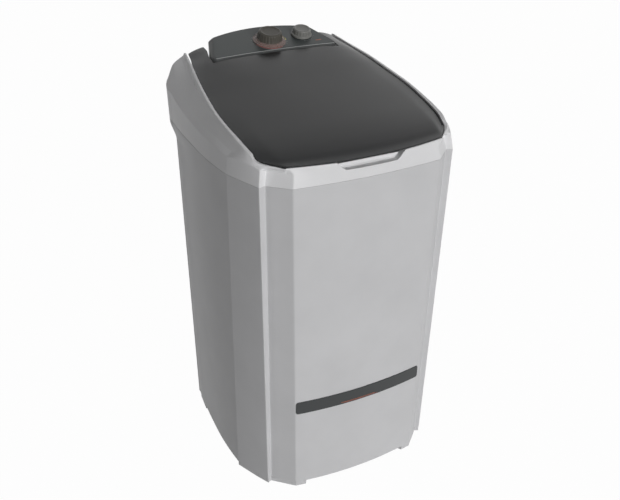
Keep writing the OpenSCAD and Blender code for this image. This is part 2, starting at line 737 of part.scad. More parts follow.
module selector_knob() {
    color([0.5, 0.5, 0.5])
    at_panel(selector_x, selector_y) translate([0, 0, knob_lift]) difference() {
        union() {
            cylinder(d = selector_d + 7, h = 3);
            translate([0, 0, 3]) cylinder(d1 = selector_d + 5, d2 = selector_d, h = 3);
            cylinder(d = selector_d, h = selector_h - 3);
            translate([0, 0, selector_h - 3]) cylinder(d1 = selector_d, d2 = selector_d - 4, h = 1.5);
            translate([-3, -selector_d / 2 + 2, selector_h - 3]) cube([6, selector_d - 4, 3]);
            for (a = [0:20:340]) rotate(a) translate([selector_d / 2 - 0.3, 0, 7])
                cylinder(r = 1.3, h = selector_h - 12);
        }
        translate([0, 0, -1]) cylinder(d = switch_shaft_d + 2 * run_gap, h = selector_h * 0.6);
        translate([0, 0, -1]) rotate_extrude() translate([7, 0]) square([selector_d / 2 - 11, 12]);
    }
}

// Wash tub, hung by its flange under the deck and borne in its middle by the bearing housing
tub_round = 60;
sump_r = drain_d / 2 + 0.05;
drain_y = tub_y;
bush_r = 26;
module tub_profile(r, z0, z1) {
    polygon(concat(
        [[0, z0]],
        [for (a = [-90:15:0]) [r - tub_round + tub_round * cos(a), z0 + tub_round + tub_round * sin(a)]],
        [[r, z1], [0, z1]]
    ));
}

module wash_tub() {
    color(white)
    translate([0, tub_y, 0])
    difference() {
        rotate_extrude($fn = 96) union() {
            difference() {
                tub_profile(tub_r + tub_wall, tub_z, tub_top - seat_gap);
                tub_profile(tub_r, tub_z + tub_wall, tub_top + 10);
            }
            translate([tub_r + 1, tub_top - seat_gap - 4]) square([flange_r - tub_r - 1, 4]);
        }
        translate([0, 0, tub_z - 1]) cylinder(r = bush_r, h = tub_wall + 2);
        translate([drain_x, 0, tub_z - 1]) cylinder(r = sump_r, h = tub_wall + 2);
        for (a = tub_screw_angles) translate([tub_screw_r * cos(a), tub_screw_r * sin(a), tub_top - 8])
            cylinder(r = screw_r, h = 10);
    }
}

module tub_screws() {
    color(steel)
    for (a = tub_screw_angles)
        translate([tub_screw_r * cos(a), tub_y + tub_screw_r * sin(a), tub_top - seat_gap - 4]) mirror([0, 0, 1])
            screw(screw_r - run_gap, 8);
}

// Lint filter: a sector pocket on the tub's wall, with a basket that lifts out
filter_angle = -8;
filter_span = 30;
filter_z = 620;
filter_h = 190;
frame_r = [tub_r - 24, tub_r - 0.3];
basket_r = [tub_r - 20, tub_r - 5];
module sector(r0, r1, h, span) {
    rotate([0, 0, -span / 2]) rotate_extrude(angle = span, $fn = 96) translate([r0, 0]) square([r1 - r0, h]);
}

module lint_filter_frame() {
    color([0.78, 0.8, 0.82])
    translate([0, tub_y, filter_z]) rotate([0, 0, filter_angle]) difference() {
        sector(frame_r[0], frame_r[1], filter_h, filter_span);
        translate([0, 0, 4]) sector(basket_r[0] - 0.5, basket_r[1] + 0.5, filter_h, filter_span - 2);
        translate([0, 0, 24]) sector(frame_r[0] - 5, basket_r[0], filter_h - 44, filter_span - 8);
    }
}

module lint_filter_basket() {
    color([0.62, 0.72, 0.8])
    translate([0, tub_y, filter_z + 4.3]) rotate([0, 0, filter_angle]) difference() {
        union() {
            sector(basket_r[0], basket_r[1], filter_h - 4, filter_span - 2.6);
            translate([0, 0, filter_h - 6]) sector(basket_r[0] + 4, basket_r[1] - 4, 16, 8);
        }
        translate([0, 0, 2]) sector(basket_r[0] + 2, basket_r[1] - 2, filter_h - 12, filter_span - 4);
        for (k = [0:9]) translate([0, 0, 22 + k * 14]) sector(basket_r[0] - 5, basket_r[0] + 5, 8, filter_span - 9);
    }
}

// Agitator disc with swept vanes
agitator_z = tub_z + tub_wall + 12;
agitator_h = 14;
vane_h = 34;
hub_r = 38;
hub_h = agitator_h + 31;
shaft_top = agitator_z + agitator_h + 22;
module agitator() {
    color([0.55, 0.68, 0.8])
    translate([0, tub_y, agitator_z]) difference() {
        union() {
            cylinder(d = agitator_d, h = 6);
            cylinder(d1 = agitator_d - 20, d2 = hub_r * 2 + 60, h = agitator_h);
            cylinder(r = hub_r, h = hub_h);
            for (a = [0:60:300]) rotate([0, 0, a]) intersection() {
                translate([hub_r - 6, -6, 0]) cube([agitator_d / 2 - hub_r, 12, vane_h]);
                cylinder(d1 = agitator_d - 4, d2 = agitator_d - 90, h = vane_h);
            }
        }
        translate([0, 0, -1]) cylinder(d = shaft_d + 2 * run_gap, h = agitator_h + 23);
        translate([0, 0, agitator_h + 20]) cylinder(r = m8_r, h = 5);
        translate([0, 0, agitator_h + 22.5]) cylinder(r = 12, h = 20);
        for (a = [30:60:330]) for (d = [70, 95, 120]) rotate([0, 0, a]) translate([d, 0, -1])
            cylinder(r = 4, h = 30);
    }
}

module agitator_bolt() {
    color(steel)
    translate([0, tub_y, shaft_top + 0.5]) union() {
        cylinder(r = 10, h = 1.5);
        cylinder(r = 7, h = 6, $fn = 6);
        translate([0, 0, -18]) cylinder(r = 3.95, h = 20);
    }
}

module agitator_cap() {
    color([0.45, 0.6, 0.76])
    translate([0, tub_y, agitator_z + hub_h]) union() {
        cylinder(r = hub_r - 1, h = 4);
        translate([0, 0, 4]) cylinder(r1 = hub_r - 1, r2 = hub_r - 14, h = 8);
        difference() {
            translate([0, 0, -3.3]) cylinder(r = 11.9, h = 4);
            translate([0, 0, -5]) cylinder(r = 10.5, h = 5);
        }
    }
}

// Bearing housing on the frame plate, with two bushes and the shaft
plate_z = 200;
plate_t = 3;
housing_z = plate_z + plate_t;
bush_or = 12;
bush_h = 14;
housing_bolt_r = 44;
housing_bolt_angles = [45, 135, 225, 315];
m8_r = 4;
module bearing_housing() {
    color([0.5, 0.51, 0.53])
    translate([0, tub_y, housing_z]) difference() {
        union() {
            cylinder(r = 56, h = 6);
            cylinder(r = 22, h = tub_z - housing_z);
            translate([0, 0, tub_z - housing_z - 4]) cylinder(r = 40, h = 4);
            cylinder(r = bush_r - 0.1, h = tub_z + tub_wall - housing_z);
        }
        translate([0, 0, -1]) cylinder(r = shaft_d / 2 + 1, h = 90);
        translate([0, 0, -1]) cylinder(r = bush_or, h = bush_h + 1);
        translate([0, 0, tub_z - housing_z - bush_h]) cylinder(r = bush_or, h = 60);
        for (a = housing_bolt_angles) rotate([0, 0, a]) translate([housing_bolt_r, 0, -1])
            cylinder(r = m8_r, h = 10);
    }
}

module bush() {
    difference() {
        cylinder(r = bush_or - run_gap, h = bush_h - 0.5);
        translate([0, 0, -1]) cylinder(d = shaft_d + 2 * run_gap, h = bush_h + 2);
    }
}

module lower_bush() {
    color([0.72, 0.56, 0.3]) translate([0, tub_y, housing_z + 0.2]) bush();
}

module upper_bush() {
    color([0.72, 0.56, 0.3]) translate([0, tub_y, tub_z - bush_h + 0.2]) bush();
}

module shaft_seal() {
    color([0.12, 0.12, 0.12])
    translate([0, tub_y, tub_z + 0.2]) difference() {
        union() {
            cylinder(r = bush_or - run_gap, h = tub_wall - 0.2);
            translate([0, 0, tub_wall]) cylinder(r = 18, h = 5);
            translate([0, 0, tub_wall - 0.3]) cylinder(r = bush_or - run_gap, h = 2);
        }
        translate([0, 0, -1]) cylinder(d = shaft_d + 2 * run_gap, h = 20);
    }
}

module housing_bolts() {
    color(steel)
    for (a = housing_bolt_angles)
        translate([0, tub_y, 0]) rotate([0, 0, a]) translate([housing_bolt_r, 0, 0]) union() {
        translate([0, 0, housing_z + 6]) cylinder(r = 7, h = 5, $fn = 6);
        translate([0, 0, plate_z - 6]) cylinder(r = m8_r - run_gap, h = 20);
        translate([0, 0, plate_z - 6]) cylinder(r = 7, h = 6 - 0.05, $fn = 6);
    }
}

// Drive shaft, driven pulley and nut
pulley_t = 18;
pulley_z = belt_z - pulley_t / 2;
thread_r = 6;
module drive_shaft() {
    color(steel)
    translate([0, tub_y, 0]) difference() {
        union() {
            translate([0, 0, pulley_z]) cylinder(d = shaft_d, h = shaft_top - pulley_z);
            translate([0, 0, pulley_z - 20]) cylinder(r = thread_r, h = 20);
        }
        translate([0, 0, shaft_top - 20]) cylinder(r = m8_r, h = 30);
    }
}

module groove_pulley(d, bore, solid_hub) {
    difference() {
        rotate_extrude($fn = 96) polygon([
            [0, 0], [d / 2, 0], [d / 2, 3.5], [d / 2 - 7, 6.5], [d / 2 - 7, pulley_t - 6.5],
            [d / 2, pulley_t - 3.5], [d / 2, pulley_t], [0, pulley_t]
        ]);
        if (!solid_hub) difference() {
            translate([0, 0, -1]) cylinder(r = d / 2 - 14, h = pulley_t + 2);
            translate([0, 0, -2]) cylinder(r = 24, h = pulley_t + 4);
            for (a = [0:60:300]) rotate([0, 0, a]) translate([10, -7, 4]) cube([d / 2 - 15, 14, pulley_t - 8]);
        }
        translate([0, 0, -1]) cylinder(r = bore, h = pulley_t + 2);
    }
}

module driven_pulley() {
    color([0.3, 0.3, 0.32])
    translate([0, tub_y, pulley_z]) groove_pulley(driven_d, shaft_d / 2 + run_gap, false);
}

module pulley_nut() {
    color(steel)
    translate([0, tub_y, pulley_z - 12.2]) difference() {
        union() {
            cylinder(r = 13, h = 10, $fn = 6);
            translate([0, 0, 9.5]) cylinder(r = 16, h = 2.4);
        }
        translate([0, 0, -1]) cylinder(r = thread_r + run_gap, h = 14);
    }
}

// Flat-sided belt round both pulleys, clear of their grooves
belt_clear = 0.35;
belt_w = 9;
belt_in = [driven_d / 2 - 7 + belt_clear, motor_pulley_d / 2 - 7 + belt_clear];
belt_span = motor_y - tub_y;
belt_lean = asin((belt_in[0] - belt_in[1]) / belt_span);
module belt_outline(grow) {
    r0 = belt_in[0] + grow;
    r1 = belt_in[1] + grow;
    c = cos(belt_lean);
    s = sin(belt_lean);
    union() {
        circle(r = r0, $fn = 96);
        translate([0, belt_span]) circle(r = r1, $fn = 96);
        polygon([[r0 * c, r0 * s], [r1 * c, belt_span + r1 * s], [-r1 * c, belt_span + r1 * s], [-r0 * c, r0 * s]]);
    }
}

module drive_belt() {
    color([0.1, 0.1, 0.1])
    translate([0, tub_y, belt_z - (pulley_t - 13 - 2 * belt_clear) / 2])
        linear_extrude(pulley_t - 13 - 2 * belt_clear)
        difference() {
            belt_outline(belt_t);
            belt_outline(0);
        }
}

// Steel frame under the tub: two box rails on the cabinet's bosses and a plate for the bearing housing
rail_w = 30;
rail_z = boss_z + boss_h;
rail_h = plate_z - rail_z;
rail_wall = 2;
module rail(y, end_x) {
    translate([-end_x, y - rail_w / 2, rail_z]) difference() {
        cube([2 * end_x, rail_w, rail_h]);
        translate([-1, rail_wall, rail_wall])
            cube([2 * end_x + 2, rail_w - 2 * rail_wall, rail_h - 2 * rail_wall]);
    }
}

front_rail_x = front_boss_x - 3.5;
rear_rail_x = rear_boss_x - 6;
hang_x = 70;
module base_frame() {
    color([0.36, 0.37, 0.39])
    difference() {
        union() {
            rail(-rail_y, front_rail_x);
            rail(rail_y, rear_rail_x);
            translate([-110, -rail_y - rail_w / 2, plate_z]) cube([220, 2 * rail_y + rail_w, plate_t]);
        }
        translate([0, tub_y, plate_z - 1]) cylinder(r = shaft_d / 2 + 12, h = plate_t + 2);
        for (a = housing_bolt_angles) translate([0, tub_y, plate_z - 1]) rotate([0, 0, a])
            translate([housing_bolt_r, 0, 0]) cylinder(r = m8_r, h = plate_t + 2);
        for (x = [-1, 1]) {
            translate([x * (front_boss_x - 16), -rail_y, rail_z - 1]) cylinder(r = screw_r, h = rail_h + 2);
            translate([x * (rear_boss_x - 16), rail_y, rail_z - 1]) cylinder(r = screw_r, h = rail_h + 2);
            translate([x * hang_x, rail_y, rail_z - 1]) cylinder(r = 3, h = rail_wall + 2);
        }
    }
}

module frame_screws() {
    color(steel)
    for (x = [-1, 1]) {
        translate([x * (front_boss_x - 16), -rail_y, plate_z]) screw(screw_r - run_gap, rail_h + 14);
        translate([x * (rear_boss_x - 16), rail_y, plate_z]) screw(screw_r - run_gap, rail_h + 14);
    }
}

// Motor below the rear rail, shaft up, with its pulley in the belt's plane
bracket_t = 3;
bracket_z = belt_z - pulley_t / 2 - 12;
motor_h = 84;
motor_top = bracket_z;
motor_bolt_r = 46;
motor_bolt_angles = [45, 135, 225, 315];
m6_r = 3;
module motor_bracket() {
    post_h = rail_z - bracket_z;
    color([0.36, 0.37, 0.39])
    difference() {
        union() {
            translate([-hang_x - 9, rail_y - 12, bracket_z])
                cube([2 * hang_x + 18, motor_y + 52 - rail_y + 12, bracket_t]);
            for (x = [-hang_x, hang_x]) translate([x - 8, rail_y - 10, bracket_z]) cube([16, 20, post_h]);
        }
        for (x = [-hang_x, hang_x]) translate([x, rail_y, bracket_z - 1]) cylinder(r = m6_r, h = post_h + 2);
        translate([0, motor_y, bracket_z - 1]) cylinder(r = 26, h = bracket_t + 2);
        for (a = motor_bolt_angles) translate([0, motor_y, bracket_z - 1]) rotate([0, 0, a])
            translate([motor_bolt_r, 0, 0]) cylinder(r = m6_r, h = bracket_t + 2);
    }
}

module bracket_bolts() {
    color(steel)
    for (x = [-hang_x, hang_x]) translate([x, rail_y, 0]) union() {
        translate([0, 0, bracket_z - 4]) cylinder(r = 5.5, h = 4, $fn = 6);
        translate([0, 0, bracket_z - 1]) cylinder(r = m6_r - run_gap, h = rail_z + rail_wall - bracket_z + 6);
        translate([0, 0, rail_z + rail_wall]) cylinder(r = 5.5, h = 4, $fn = 6);
    }
}

motor_wall = 3;
rotor_r = motor_d / 2 - 22;
module motor_housing() {
    color([0.5, 0.52, 0.54])
    translate([0, motor_y, motor_top - motor_h]) difference() {
        union() {
            cylinder(d = motor_d, h = motor_h);
            for (k = [0:5]) translate([0, 0, 14 + k * 10]) cylinder(d = motor_d + 4, h = 4);
        }
        translate([0, 0, motor_wall]) cylinder(r = rotor_r + 0.6, h = motor_h - 2 * motor_wall);
        translate([0, 0, motor_wall]) cylinder(r = motor_d / 2 - 8, h = 16);
        translate([0, 0, -1]) cylinder(r = motor_shaft_d / 2 + run_gap, h = motor_h + 2);
        for (a = motor_bolt_angles) rotate([0, 0, a]) translate([motor_bolt_r, 0, motor_h - 16])
            cylinder(r = m6_r, h = 20);
        for (a = [0:30:330]) rotate([0, 0, a]) translate([motor_d / 2 - 14, -4, 5]) cube([20, 8, 7]);
    }
}

module motor_rotor() {
    color([0.62, 0.62, 0.6])
    translate([0, motor_y, motor_top - motor_h]) union() {
        translate([0, 0, -6]) cylinder(d = motor_shaft_d, h = pulley_z + pulley_t - motor_top + motor_h + 10);
        translate([0, 0, motor_wall + 18]) cylinder(r = rotor_r, h = motor_h - 2 * motor_wall - 20);
    }
}

module motor_fan() {
    color([0.15, 0.15, 0.15])
    translate([0, motor_y, motor_top - motor_h + motor_wall + 2]) difference() {
        union() {
            cylinder(r = 12, h = 12);
            cylinder(r = motor_d / 2 - 14, h = 1.6);
            for (a = [0:45:315]) rotate([0, 0, a]) translate([8, -1, 0]) cube([motor_d / 2 - 22, 2, 11]);
        }
        translate([0, 0, -1]) cylinder(r = motor_shaft_d / 2 + run_gap, h = 20);
    }
}

module motor_pulley() {
    color([0.3, 0.3, 0.32])
    translate([0, motor_y, pulley_z]) groove_pulley(motor_pulley_d, motor_shaft_d / 2 + run_gap, true);
}

module motor_bolts() {
    color(steel)
    for (a = motor_bolt_angles) translate([0, motor_y, bracket_z + bracket_t]) rotate([0, 0, a])
        translate([motor_bolt_r, 0, 0]) screw(m6_r - run_gap, 14, 5, 3);
}

// Run capacitor, strapped to the frame plate's underside beside the rear rail
capacitor_r = 20;
capacitor_h = 74;
capacitor_x = 150;
capacitor_z = rail_z - capacitor_r - 2;
module run_capacitor() {
    color([0.85, 0.85, 0.84])
    translate([capacitor_x, rail_y - capacitor_h / 2, capacitor_z]) rotate([-90, 0, 0]) union() {
        cylinder(r = capacitor_r, h = capacitor_h);
        for (x = [-6, 6]) translate([x - 1, -3, capacitor_h]) cube([2, 6, 8]);
    }
}

module capacitor_clip() {
    clip_l = 14;
    color(steel)
    translate([capacitor_x, rail_y - clip_l / 2, 0]) difference() {
        union() {
            translate([0, 0, capacitor_z]) rotate([-90, 0, 0]) cylinder(r = capacitor_r + 2, h = clip_l);
            translate([-capacitor_r - 2, 0, rail_z - 6]) cube([2 * capacitor_r + 4, clip_l, 6]);
        }
        translate([0, -1, capacitor_z]) rotate([-90, 0, 0]) cylinder(r = capacitor_r + run_gap, h = clip_l + 2);
    }
}

// Drain: elbow in the tub's floor, hose inside the cabinet, spigot through the rear wall
drain_wall = 3;
elbow_end = 205;
hose_r = 19;
hose_bend = 60;
hose_start = elbow_end + 24;
module drain_elbow() {
    color([0.2, 0.2, 0.21])
    translate([drain_x, drain_y, 0]) difference() {
        union() {
            translate([0, 0, elbow_end]) cylinder(d = drain_d, h = tub_z + tub_wall - elbow_end);
            translate([0, 0, tub_z - 4]) cylinder(d = drain_d + 14, h = 4);
            translate([0, 0, tub_z + tub_wall]) cylinder(d = drain_d + 10, h = 2);
        }
        translate([0, 0, elbow_end - 1]) cylinder(d = drain_d - 2 * drain_wall, h = 80);
    }
}

spigot_out = 34;
spigot_in = rear_wall_y - spigot_out;
// Length of hose pushed over the spigot
hose_on = 22;
hose_bore = drain_d / 2 + run_gap;
// A straight stretch of the drain hose along +Z
module hose_tube(length) {
    difference() {
        cylinder(r = hose_r, h = length);
        translate([0, 0, -1]) cylinder(r = hose_bore, h = length + 2);
    }
}

module drain_hose() {
    color([0.5, 0.51, 0.52])
    translate([drain_x, drain_y, drain_z]) {
        translate([0, 0, hose_bend]) hose_tube(hose_start - drain_z - hose_bend);
        translate([0, hose_bend, hose_bend]) rotate([0, 0, 90]) rotate([90, 0, 0]) rotate([0, 0, 180])
            rotate_extrude(angle = 90) translate([hose_bend, 0]) difference() {
                circle(r = hose_r);
                circle(r = hose_bore);
            }
        translate([0, hose_bend, 0]) rotate([-90, 0, 0]) hose_tube(spigot_in + hose_on - drain_y - hose_bend);
    }
}

module drain_spigot() {
    color([0.2, 0.2, 0.21])
    translate([drain_x, 0, drain_z]) rotate([-90, 0, 0]) difference() {
        union() {
            translate([0, 0, spigot_in]) cylinder(d = drain_d, h = 2 * spigot_out);
            translate([0, 0, rear_wall_y + 0.05]) cylinder(d = drain_d + 20, h = 4);
        }
        translate([0, 0, spigot_in - 1]) cylinder(d = drain_d - 2 * drain_wall, h = 90);
    }
}

module clamp_ring() {
    difference() {
        union() {
            cylinder(r = hose_r + 1.5, h = 9);
            translate([-7, hose_r - 1, 0.5]) cube([14, 9, 8]);
        }
        translate([0, 0, -1]) cylinder(r = hose_r + run_gap, h = 11);
    }
}

module hose_clamps() {
    color(steel) {
        translate([drain_x, drain_y, hose_start - 14]) clamp_ring();
        translate([drain_x, spigot_in + 8, drain_z]) rotate([-90, 0, 0]) clamp_ring();
    }
}

// Water inlet: flange and thread outside the deck's rear wall, tail inside, and the spout into the tub
inlet_tail_y = 262;
inlet_flange_y = 291.6;
inlet_flange_t = 4;
inlet_end = rear_y - 1;
spout_end_y = 172;
spout_flange_y = 204;
module water_inlet() {
    color([0.2, 0.2, 0.21])
    translate([inlet_x, 0, inlet_z]) rotate([-90, 0, 0]) difference() {
        union() {
            translate([0, 0, inlet_tail_y]) cylinder(d = inlet_d, h = inlet_end - inlet_tail_y);
            translate([0, 0, inlet_flange_y]) cylinder(d = inlet_d + 12, h = inlet_flange_t);
        }
        translate([0, 0, inlet_tail_y - 1]) cylinder(d = inlet_d - 8, h = 80);
    }
}

module inlet_spout() {
    color([0.82, 0.83, 0.84])
    translate([inlet_x, 0, inlet_z]) rotate([-90, 0, 0]) difference() {
        union() {
            translate([0, 0, spout_end_y]) cylinder(d = inlet_d, h = inlet_tail_y - spout_end_y);
            translate([0, 0, spout_flange_y]) cylinder(d = inlet_d + 10, h = 3);
        }
        translate([0, 0, spout_end_y - 1]) cylinder(d = inlet_d - 6, h = 120);
    }
}

// Grommet for the mains lead
module cord_gland() {
    color([0.08, 0.08, 0.08])
    translate([gland_x, rear_wall_y, gland_z]) rotate([-90, 0, 0]) difference() {
        union() {
            translate([0, 0, -wall - 3]) cylinder(r = gland_r + 2.5, h = 2.9);
            translate([0, 0, -wall - 3]) cylinder(r = gland_r - run_gap, h = wall + 8);
            translate([0, 0, 0.1]) cylinder(r = gland_r + 2.5, h = 4);
        }
        translate([0, 0, -20]) cylinder(r = 4, h = 40);
    }
}

// Wiring bundle from the timer, down behind the tub to the motor
harness_low_z = 112;
harness_end_x = -motor_d / 2 - 2.2;
module harness_run(a, b) {
    v = b - a;
    translate(a) rotate([0, acos(v[2] / norm(v)), atan2(v[1], v[0])]) cylinder(r = harness_r, h = norm(v));
}

module wiring_harness() {
    top = [harness_x, harness_y, platform_z + 24];
    route = [
        [timer_x - timer_size[0] / 2 - 0.5, harness_y, platform_z + 24],
        top,
        [harness_x, harness_y, harness_low_z],
        [harness_x, motor_y, harness_low_z],
        [harness_end_x, motor_y, harness_low_z]
    ];
    color([0.15, 0.15, 0.16])
    union() {
        for (i = [0:3]) harness_run(route[i], route[i + 1]);
        for (i = [1:3]) translate(route[i]) sphere(r = harness_r);
    }
}

// Screws from the rear through the cabinet's top edge into the deck's two tabs
module deck_screws() {
    color(steel)
    for (x = [-deck_tab_x, deck_tab_x]) translate([x, deck_tab_y + 0.1, deck_screw_z]) rotate([-90, 0, 0])
        screw(screw_r - run_gap, 12, 3.2);
}

cabinet();
rear_access_cover();
rear_cover_screws();
base_frame();
frame_screws();
feet();
front_label_strip();
top_deck();
deck_screws();
lid();
hinge_pins();
control_console();
console_screws();
console_fascia();
console_trim();
timer_unit();
timer_shaft();
timer_knob();
timer_dial();
timer_knob_cap();
selector_switch();
selector_shaft();
selector_knob();
wash_tub();
tub_screws();
lint_filter_frame();
lint_filter_basket();
agitator();
agitator_cap();
agitator_bolt();
drive_shaft();
shaft_seal();
upper_bush();
lower_bush();
bearing_housing();
housing_bolts();
driven_pulley();
pulley_nut();
drive_belt();
motor_housing();
motor_rotor();
motor_fan();
motor_pulley();
motor_bracket();
motor_bolts();
bracket_bolts();
run_capacitor();
capacitor_clip();
drain_elbow();
drain_hose();
drain_spigot();
hose_clamps();
water_inlet();
inlet_spout();
cord_gland();
wiring_harness();
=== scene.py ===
# Semi-automatic washing machine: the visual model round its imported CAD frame, and the studio.
# Shapes are worked out in millimetres in the CAD's frame, and every object is made in metres.
import json
import math
import bmesh
import bpy
import numpy as np
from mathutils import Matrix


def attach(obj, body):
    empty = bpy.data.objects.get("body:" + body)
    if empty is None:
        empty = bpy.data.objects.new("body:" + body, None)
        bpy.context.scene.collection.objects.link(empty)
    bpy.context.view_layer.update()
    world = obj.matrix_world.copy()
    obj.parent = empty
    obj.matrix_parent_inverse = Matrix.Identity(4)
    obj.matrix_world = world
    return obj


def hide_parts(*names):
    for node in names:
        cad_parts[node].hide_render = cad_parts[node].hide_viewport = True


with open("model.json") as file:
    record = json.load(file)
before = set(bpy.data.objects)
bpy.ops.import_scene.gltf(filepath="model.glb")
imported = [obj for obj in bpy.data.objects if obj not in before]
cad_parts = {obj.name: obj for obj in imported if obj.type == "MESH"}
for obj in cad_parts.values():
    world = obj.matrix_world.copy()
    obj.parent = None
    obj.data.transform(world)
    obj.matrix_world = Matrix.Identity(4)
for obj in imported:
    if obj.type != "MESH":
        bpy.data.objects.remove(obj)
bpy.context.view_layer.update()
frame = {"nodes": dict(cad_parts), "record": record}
scene = bpy.context.scene
nodes = frame["nodes"]
MM = 0.001
SHARP_ANGLE = math.radians(32)
WELD_REACH = 2e-6
THIN_EDGE = 1e-6
NODE_WELD = 1e-5
TINY = 1e-12
LEAST_LENGTH = 1e-6

# Camera of the photograph
CAMERA_PLACE = (-0.939881, -1.854241, 1.651225)
CAMERA_TURN = (61.758, 0.0, -26.915)
CAMERA_LENS = 51.486
SENSOR_WIDTH = 36.0

# Driving sizes, as in the CAD
HALF_W = 293.5
FRONT_Y = -310
REAR_Y = 310
CABINET_H = 868
WALL = 3
FOOT_H = 12
REAR_WALL_Y = 236
FRONT_HALF = 189
FRONT_BOW = 13
FRONT_LEAN = 30
FRONT_TAPER = 14
BOW_MORE = 4
BOW_STEPS = 6
PANEL_Y = FRONT_Y + 1 + FRONT_BOW
CHAMFER_W = 47
CHAMFER_D = 45
RIB_W = 15
REAR_CORNER = 30
LID_Z = 914
LID_T = 3
LID_CROWN = 17
LID_GAP = 1.5
RIM_W = 8
RIM_H = 4
PLATFORM_Z = 985
REAR_TOP_Z = 992
TUB_Y = -34
TUB_R = 226
TUB_TOP = 880
HINGE_Y = 270
HINGE_Z = 1010
CONSOLE_W = 344
CONSOLE_Z = 1025
CONSOLE_FRONT_Y = 182
CONSOLE_REAR_Y = 285
CONSOLE_REAR_W = 274
PANEL_TILT = math.radians(14.7)
TIMER_PLACE = (2, 235)
SELECTOR_PLACE = (98, 242)
KNOB_D = 87
KNOB_H = 30
SELECTOR_D = 48
SELECTOR_H = 20


def mix(a, b, t):
    return a + (b - a) * t


def smooth_step(t):
    t = np.clip(t, 0, 1)
    return t * t * (3 - 2 * t)


def bow(half_width, y, depth):
    """Points of a bowed panel from its middle to its side"""
    shares = [i / BOW_STEPS for i in range(BOW_STEPS + 1)]
    return [(half_width * s, y - depth * (1 - s ** 2)) for s in shares]


# Right half outlines of the cabinet at the joint and at the floor, front to rear
TOP_HALF = np.array(bow(FRONT_HALF, PANEL_Y, FRONT_BOW) + [
    (FRONT_HALF + CHAMFER_W, PANEL_Y + CHAMFER_D),
    (FRONT_HALF + CHAMFER_W + RIB_W, PANEL_Y + CHAMFER_D - 6),
    (HALF_W - 30, -222), (HALF_W - 8, -153), (HALF_W - 2, -90), (HALF_W, -23), (HALF_W - 3, 60),
    (HALF_W - 7, 140), (HALF_W - 13, REAR_Y - 100), (HALF_W - 20, REAR_Y - 48), (HALF_W - 32, REAR_Y - 30),
    (150, REAR_Y - 24), (0, REAR_Y - 21),
], float)
BOTTOM_HALF = np.array(bow(FRONT_HALF - FRONT_TAPER, PANEL_Y + FRONT_LEAN, FRONT_BOW + BOW_MORE) + [
    (FRONT_HALF + CHAMFER_W - 11, PANEL_Y + CHAMFER_D + 33),
    (FRONT_HALF + CHAMFER_W + RIB_W - 16, PANEL_Y + CHAMFER_D + 28),
    (HALF_W - 42.5, -189.5), (HALF_W - 15, -122), (HALF_W - 12, -70), (HALF_W - 12, -10), (HALF_W - 17, 70),
    (HALF_W - 24, 145), (HALF_W - 32, REAR_WALL_Y - REAR_CORNER),
    (HALF_W - 41, REAR_WALL_Y - REAR_CORNER / 4), (HALF_W - 32 - REAR_CORNER, REAR_WALL_Y),
    (120, REAR_WALL_Y), (0, REAR_WALL_Y),
], float)
# Stations where the outline turns sharply, and how far to each side of them it is softened
CORNERS = (6, 7, 8, 10)
CORNER_SOFT = 3.0
FRONT_SAMPLES = 15
SIDE_SAMPLES = 8
CORNER_SAMPLES = 5
STATION_T = np.concatenate([[0], np.cumsum(np.linalg.norm(np.diff(TOP_HALF, axis=0), axis=1))])
LAST = len(TOP_HALF) - 1
GROOVE_STATION = 7
RIB_STATION = 8
GROOVE_W = 16.0
GROOVE_D = 2.4
GROOVE_EASE = 1.5
ELLIPSE = (1, 0.9)
CORNER_SHARE = 0.45


def station_samples():
    """Places along the half outline: dense on the front and where a corner is softened"""
    out = []
    for i in range(LAST):
        start = STATION_T[i] + (CORNER_SOFT if i in CORNERS else 0)
        end = STATION_T[i + 1] - (CORNER_SOFT if i + 1 in CORNERS else 0)
        count = FRONT_SAMPLES if i < BOW_STEPS else SIDE_SAMPLES
        out.extend(np.linspace(start, end, count, endpoint=False))
        if i + 1 in CORNERS:
            out.extend(np.linspace(end, STATION_T[i + 1] + CORNER_SOFT, CORNER_SAMPLES, endpoint=False))
    return np.array(out + [STATION_T[-1]])


SAMPLES = station_samples()


def slopes(points, corners):
    """Slopes into and out of each station of a curve that is mirrored at both ends"""
    span = np.diff(STATION_T)[:, None]
    chord = np.diff(points, axis=0) / span
    inner = (chord[:-1] * span[1:] + chord[1:] * span[:-1]) / (span[1:] + span[:-1])
    flat = np.zeros(points.shape[1])
    flat[0] = 1
    smooth = np.vstack([chord[:1] * flat, inner, chord[-1:] * flat])
    into, out = smooth.copy(), smooth.copy()
    for c in corners:
        into[c] = chord[c - 1] if c - 1 in corners else 2 * chord[c - 1] - smooth[c - 1]
        out[c] = chord[c] if c + 1 in corners else 2 * chord[c] - smooth[c + 1]
    return into, out


def cubic(u, h, p, m, q, n):
    """A cubic over a span h, from p with slope m to q with slope n"""
    return ((2 * u ** 3 - 3 * u ** 2 + 1) * p + (u ** 3 - 2 * u ** 2 + u) * h * m
            + (3 * u ** 2 - 2 * u ** 3) * q + (u ** 3 - u ** 2) * h * n)


def turned_corner(u, first, corner, last):
    """A corner as a short arc"""
    return (1 - u) ** 2 * first + 2 * u * (1 - u) * corner + u ** 2 * last


def curve_at(points, tangents, s):
    """Points of a station curve at the places s"""
    into, out = tangents
    i = np.clip(np.searchsorted(STATION_T, s, "right") - 1, 0, LAST - 1)
    h = (STATION_T[i + 1] - STATION_T[i])[:, None]
    u = (s - STATION_T[i])[:, None] / h
    return cubic(u, h, points[i], out[i], points[i + 1], into[i + 1])


